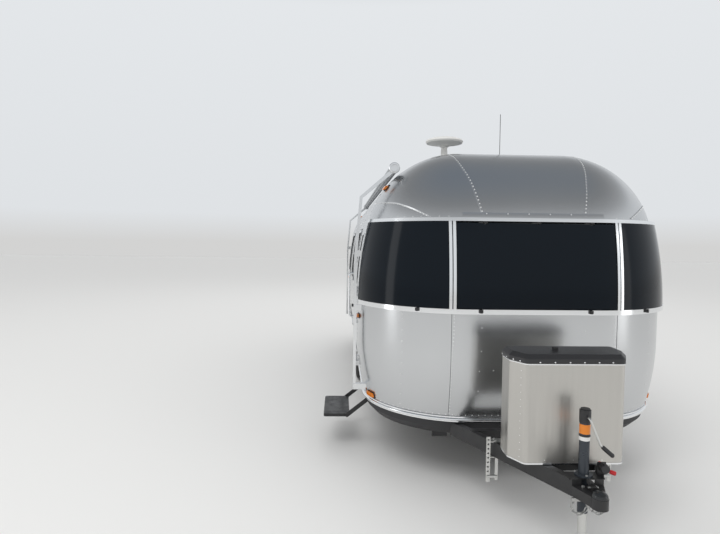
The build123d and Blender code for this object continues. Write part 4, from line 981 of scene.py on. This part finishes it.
roll_x, roll_z, arm_x = -1.000, 2.508, -1.330
caps = Pile()
for y, toward in ((1.473, -1), (6.347, 1)):
    caps.turned((roll_x, y, roll_z), (0, toward, 0),
                [(0.036, -0.004), (0.045, 0), (0.046, 0.004), (0.046, 0.018), (0.042, 0.022),
                 (0.030, 0.023), (0.028, 0.017), (0.010, 0.016), (0, 0.016)], sides=32)
    for z in (0.645, 1.325, 1.785):
        for inset in (0.009, 0.025):
            caps.dome((arm_x, y - toward * inset, z), (-1, 0, 0),
                      radius=0.008, height=0.005, sides=10)
caps.done("awning_caps", rail_metal)
hems = Pile()
hem_r = 0.0382
for degrees in (200, 240, 280):
    a = math.radians(degrees)
    hems.tube([(roll_x + hem_r * math.cos(a), y, roll_z + hem_r * math.sin(a))
               for y in evenly(1.520, 6.300, 6)], radius=0.0022, sides=6)
hems.done("awning_hems", trim_black)
feet = Pile()
for z in (1.120, 1.560):
    feet.turned(*skin(plan(y=2.430, side=-1), z),
                [(0.026, 0), (0.026, 0.004), (0.015, 0.008), (0.0112, 0.008)])
feet.done("handle_feet", bright)

# Studio: a pale floor, a sky that grades from pale to dark where it is seen or mirrored and is even
# where it lights matt surfaces, soft lamps for these, and two cards that only show in the metal

half_floor = 60
floor_mesh = bpy.data.meshes.new("floor_plane")
floor_mesh.from_pydata([(-half_floor, -half_floor, 0), (half_floor, -half_floor, 0),
                        (half_floor, half_floor, 0), (-half_floor, half_floor, 0)],
                       [], [(0, 1, 2, 3)])
ground = bpy.data.objects.new("floor_plane", floor_mesh)
bpy.context.scene.collection.objects.link(ground)
ground.data.materials.append(shader("floor_paint", (0.80, 0.80, 0.79), roughness=0.7))

world = bpy.data.worlds.new("studio")
bpy.context.scene.world = world
world.use_nodes = True
tree = world.node_tree
coordinates = tree.nodes.new("ShaderNodeTexCoord")
split = tree.nodes.new("ShaderNodeSeparateXYZ")
ramp = tree.nodes.new("ShaderNodeValToRGB")
tree.links.new(coordinates.outputs["Generated"], split.inputs["Vector"])
tree.links.new(split.outputs["Z"], ramp.inputs["Fac"])
stops = ramp.color_ramp.elements
stops[0].position, stops[0].color = 0.0, (0.65, 0.65, 0.645, 1)
stops[1].position, stops[1].color = 1.0, (0.22, 0.25, 0.29, 1)
for at, level in ((0.05, 0.76), (0.40, 0.80), (0.56, 0.44), (0.75, 0.29)):
    stops.new(at).color = (level * 0.97, level, level * 1.03, 1)
rays = tree.nodes.new("ShaderNodeLightPath")
sees_ramp = rays.outputs["Is Camera Ray"]
for kind in ("Is Glossy Ray", "Is Transmission Ray"):
    either = tree.nodes.new("ShaderNodeMath")
    either.operation = "MAXIMUM"
    tree.links.new(sees_ramp, either.inputs[0])
    tree.links.new(rays.outputs[kind], either.inputs[1])
    sees_ramp = either.outputs[0]
sky = tree.nodes.new("ShaderNodeMix")
sky.data_type = "RGBA"
mix_share, mix_first, mix_second, mix_result = 0, 6, 7, 2  # places of the colour mix's sockets
sky.inputs[mix_first].default_value = (0.84, 0.84, 0.84, 1)
tree.links.new(sees_ramp, sky.inputs[mix_share])
tree.links.new(ramp.outputs["Color"], sky.inputs[mix_second])
tree.links.new(sky.outputs[mix_result], tree.nodes["Background"].inputs["Color"])


def lamp(name, place, target, size, power, mirrored=False):
    """A soft area lamp for the matt surfaces, or a mirrored card that only shows in the metal."""
    light = bpy.data.lights.new(name, "AREA")
    light.shape = "RECTANGLE"
    light.size, light.size_y = size
    light.energy = power
    obj = bpy.data.objects.new(name, light)
    obj.location = place
    obj.rotation_euler = (Vector(target) - Vector(place)).to_track_quat("-Z", "Y").to_euler()
    obj.visible_glossy = mirrored
    obj.visible_diffuse = not mirrored
    obj.visible_camera = False
    bpy.context.scene.collection.objects.link(obj)


lamp("key", (-6.0, -6.0, 12.0), (0, 1.5, 1.2), size=(6, 6), power=520)
lamp("fill", (9.0, -5.0, 8.0), (0, 2.5, 1.2), size=(6, 5), power=90)
lamp("rear_lamp", (0, 15.0, 12.0), (0, 6.0, 1.5), size=(9, 5), power=220)
lamp("tall_card", (-9.0, 0.4, 2.7), (-1.0, 1.1, 1.4), size=(1.6, 5.0), power=38, mirrored=True)
lamp("low_card", (7.5, -3.0, 2.2), (0.3, 1.2, 1.3), size=(1.8, 4.6), power=24, mirrored=True)

# Camera, fitted to the photograph: angles in radians, focal length in the photo's pixels

camera_place = (-1.448, -3.023, 1.875)
yaw, pitch, roll = 0.0374, 0.0456, 0.012
focal_pixels, photo_width, sensor_width = 530.45, 720, 36
forward = Vector((math.sin(yaw) * math.cos(pitch), math.cos(yaw) * math.cos(pitch),
                  -math.sin(pitch)))
level = Vector((math.cos(yaw), -math.sin(yaw), 0))
rise = level.cross(forward)
right = level * math.cos(roll) + rise * math.sin(roll)
up = rise * math.cos(roll) - level * math.sin(roll)
camera = bpy.data.objects.new("camera", bpy.data.cameras.new("camera"))
axes = Matrix((right, up, -forward)).transposed().to_4x4()
camera.matrix_world = Matrix.Translation(camera_place) @ axes
camera.data.sensor_width = sensor_width
camera.data.lens = focal_pixels / photo_width * sensor_width
bpy.context.scene.collection.objects.link(camera)
bpy.context.scene.camera = camera

bpy.context.scene.view_settings.view_transform = "Standard"
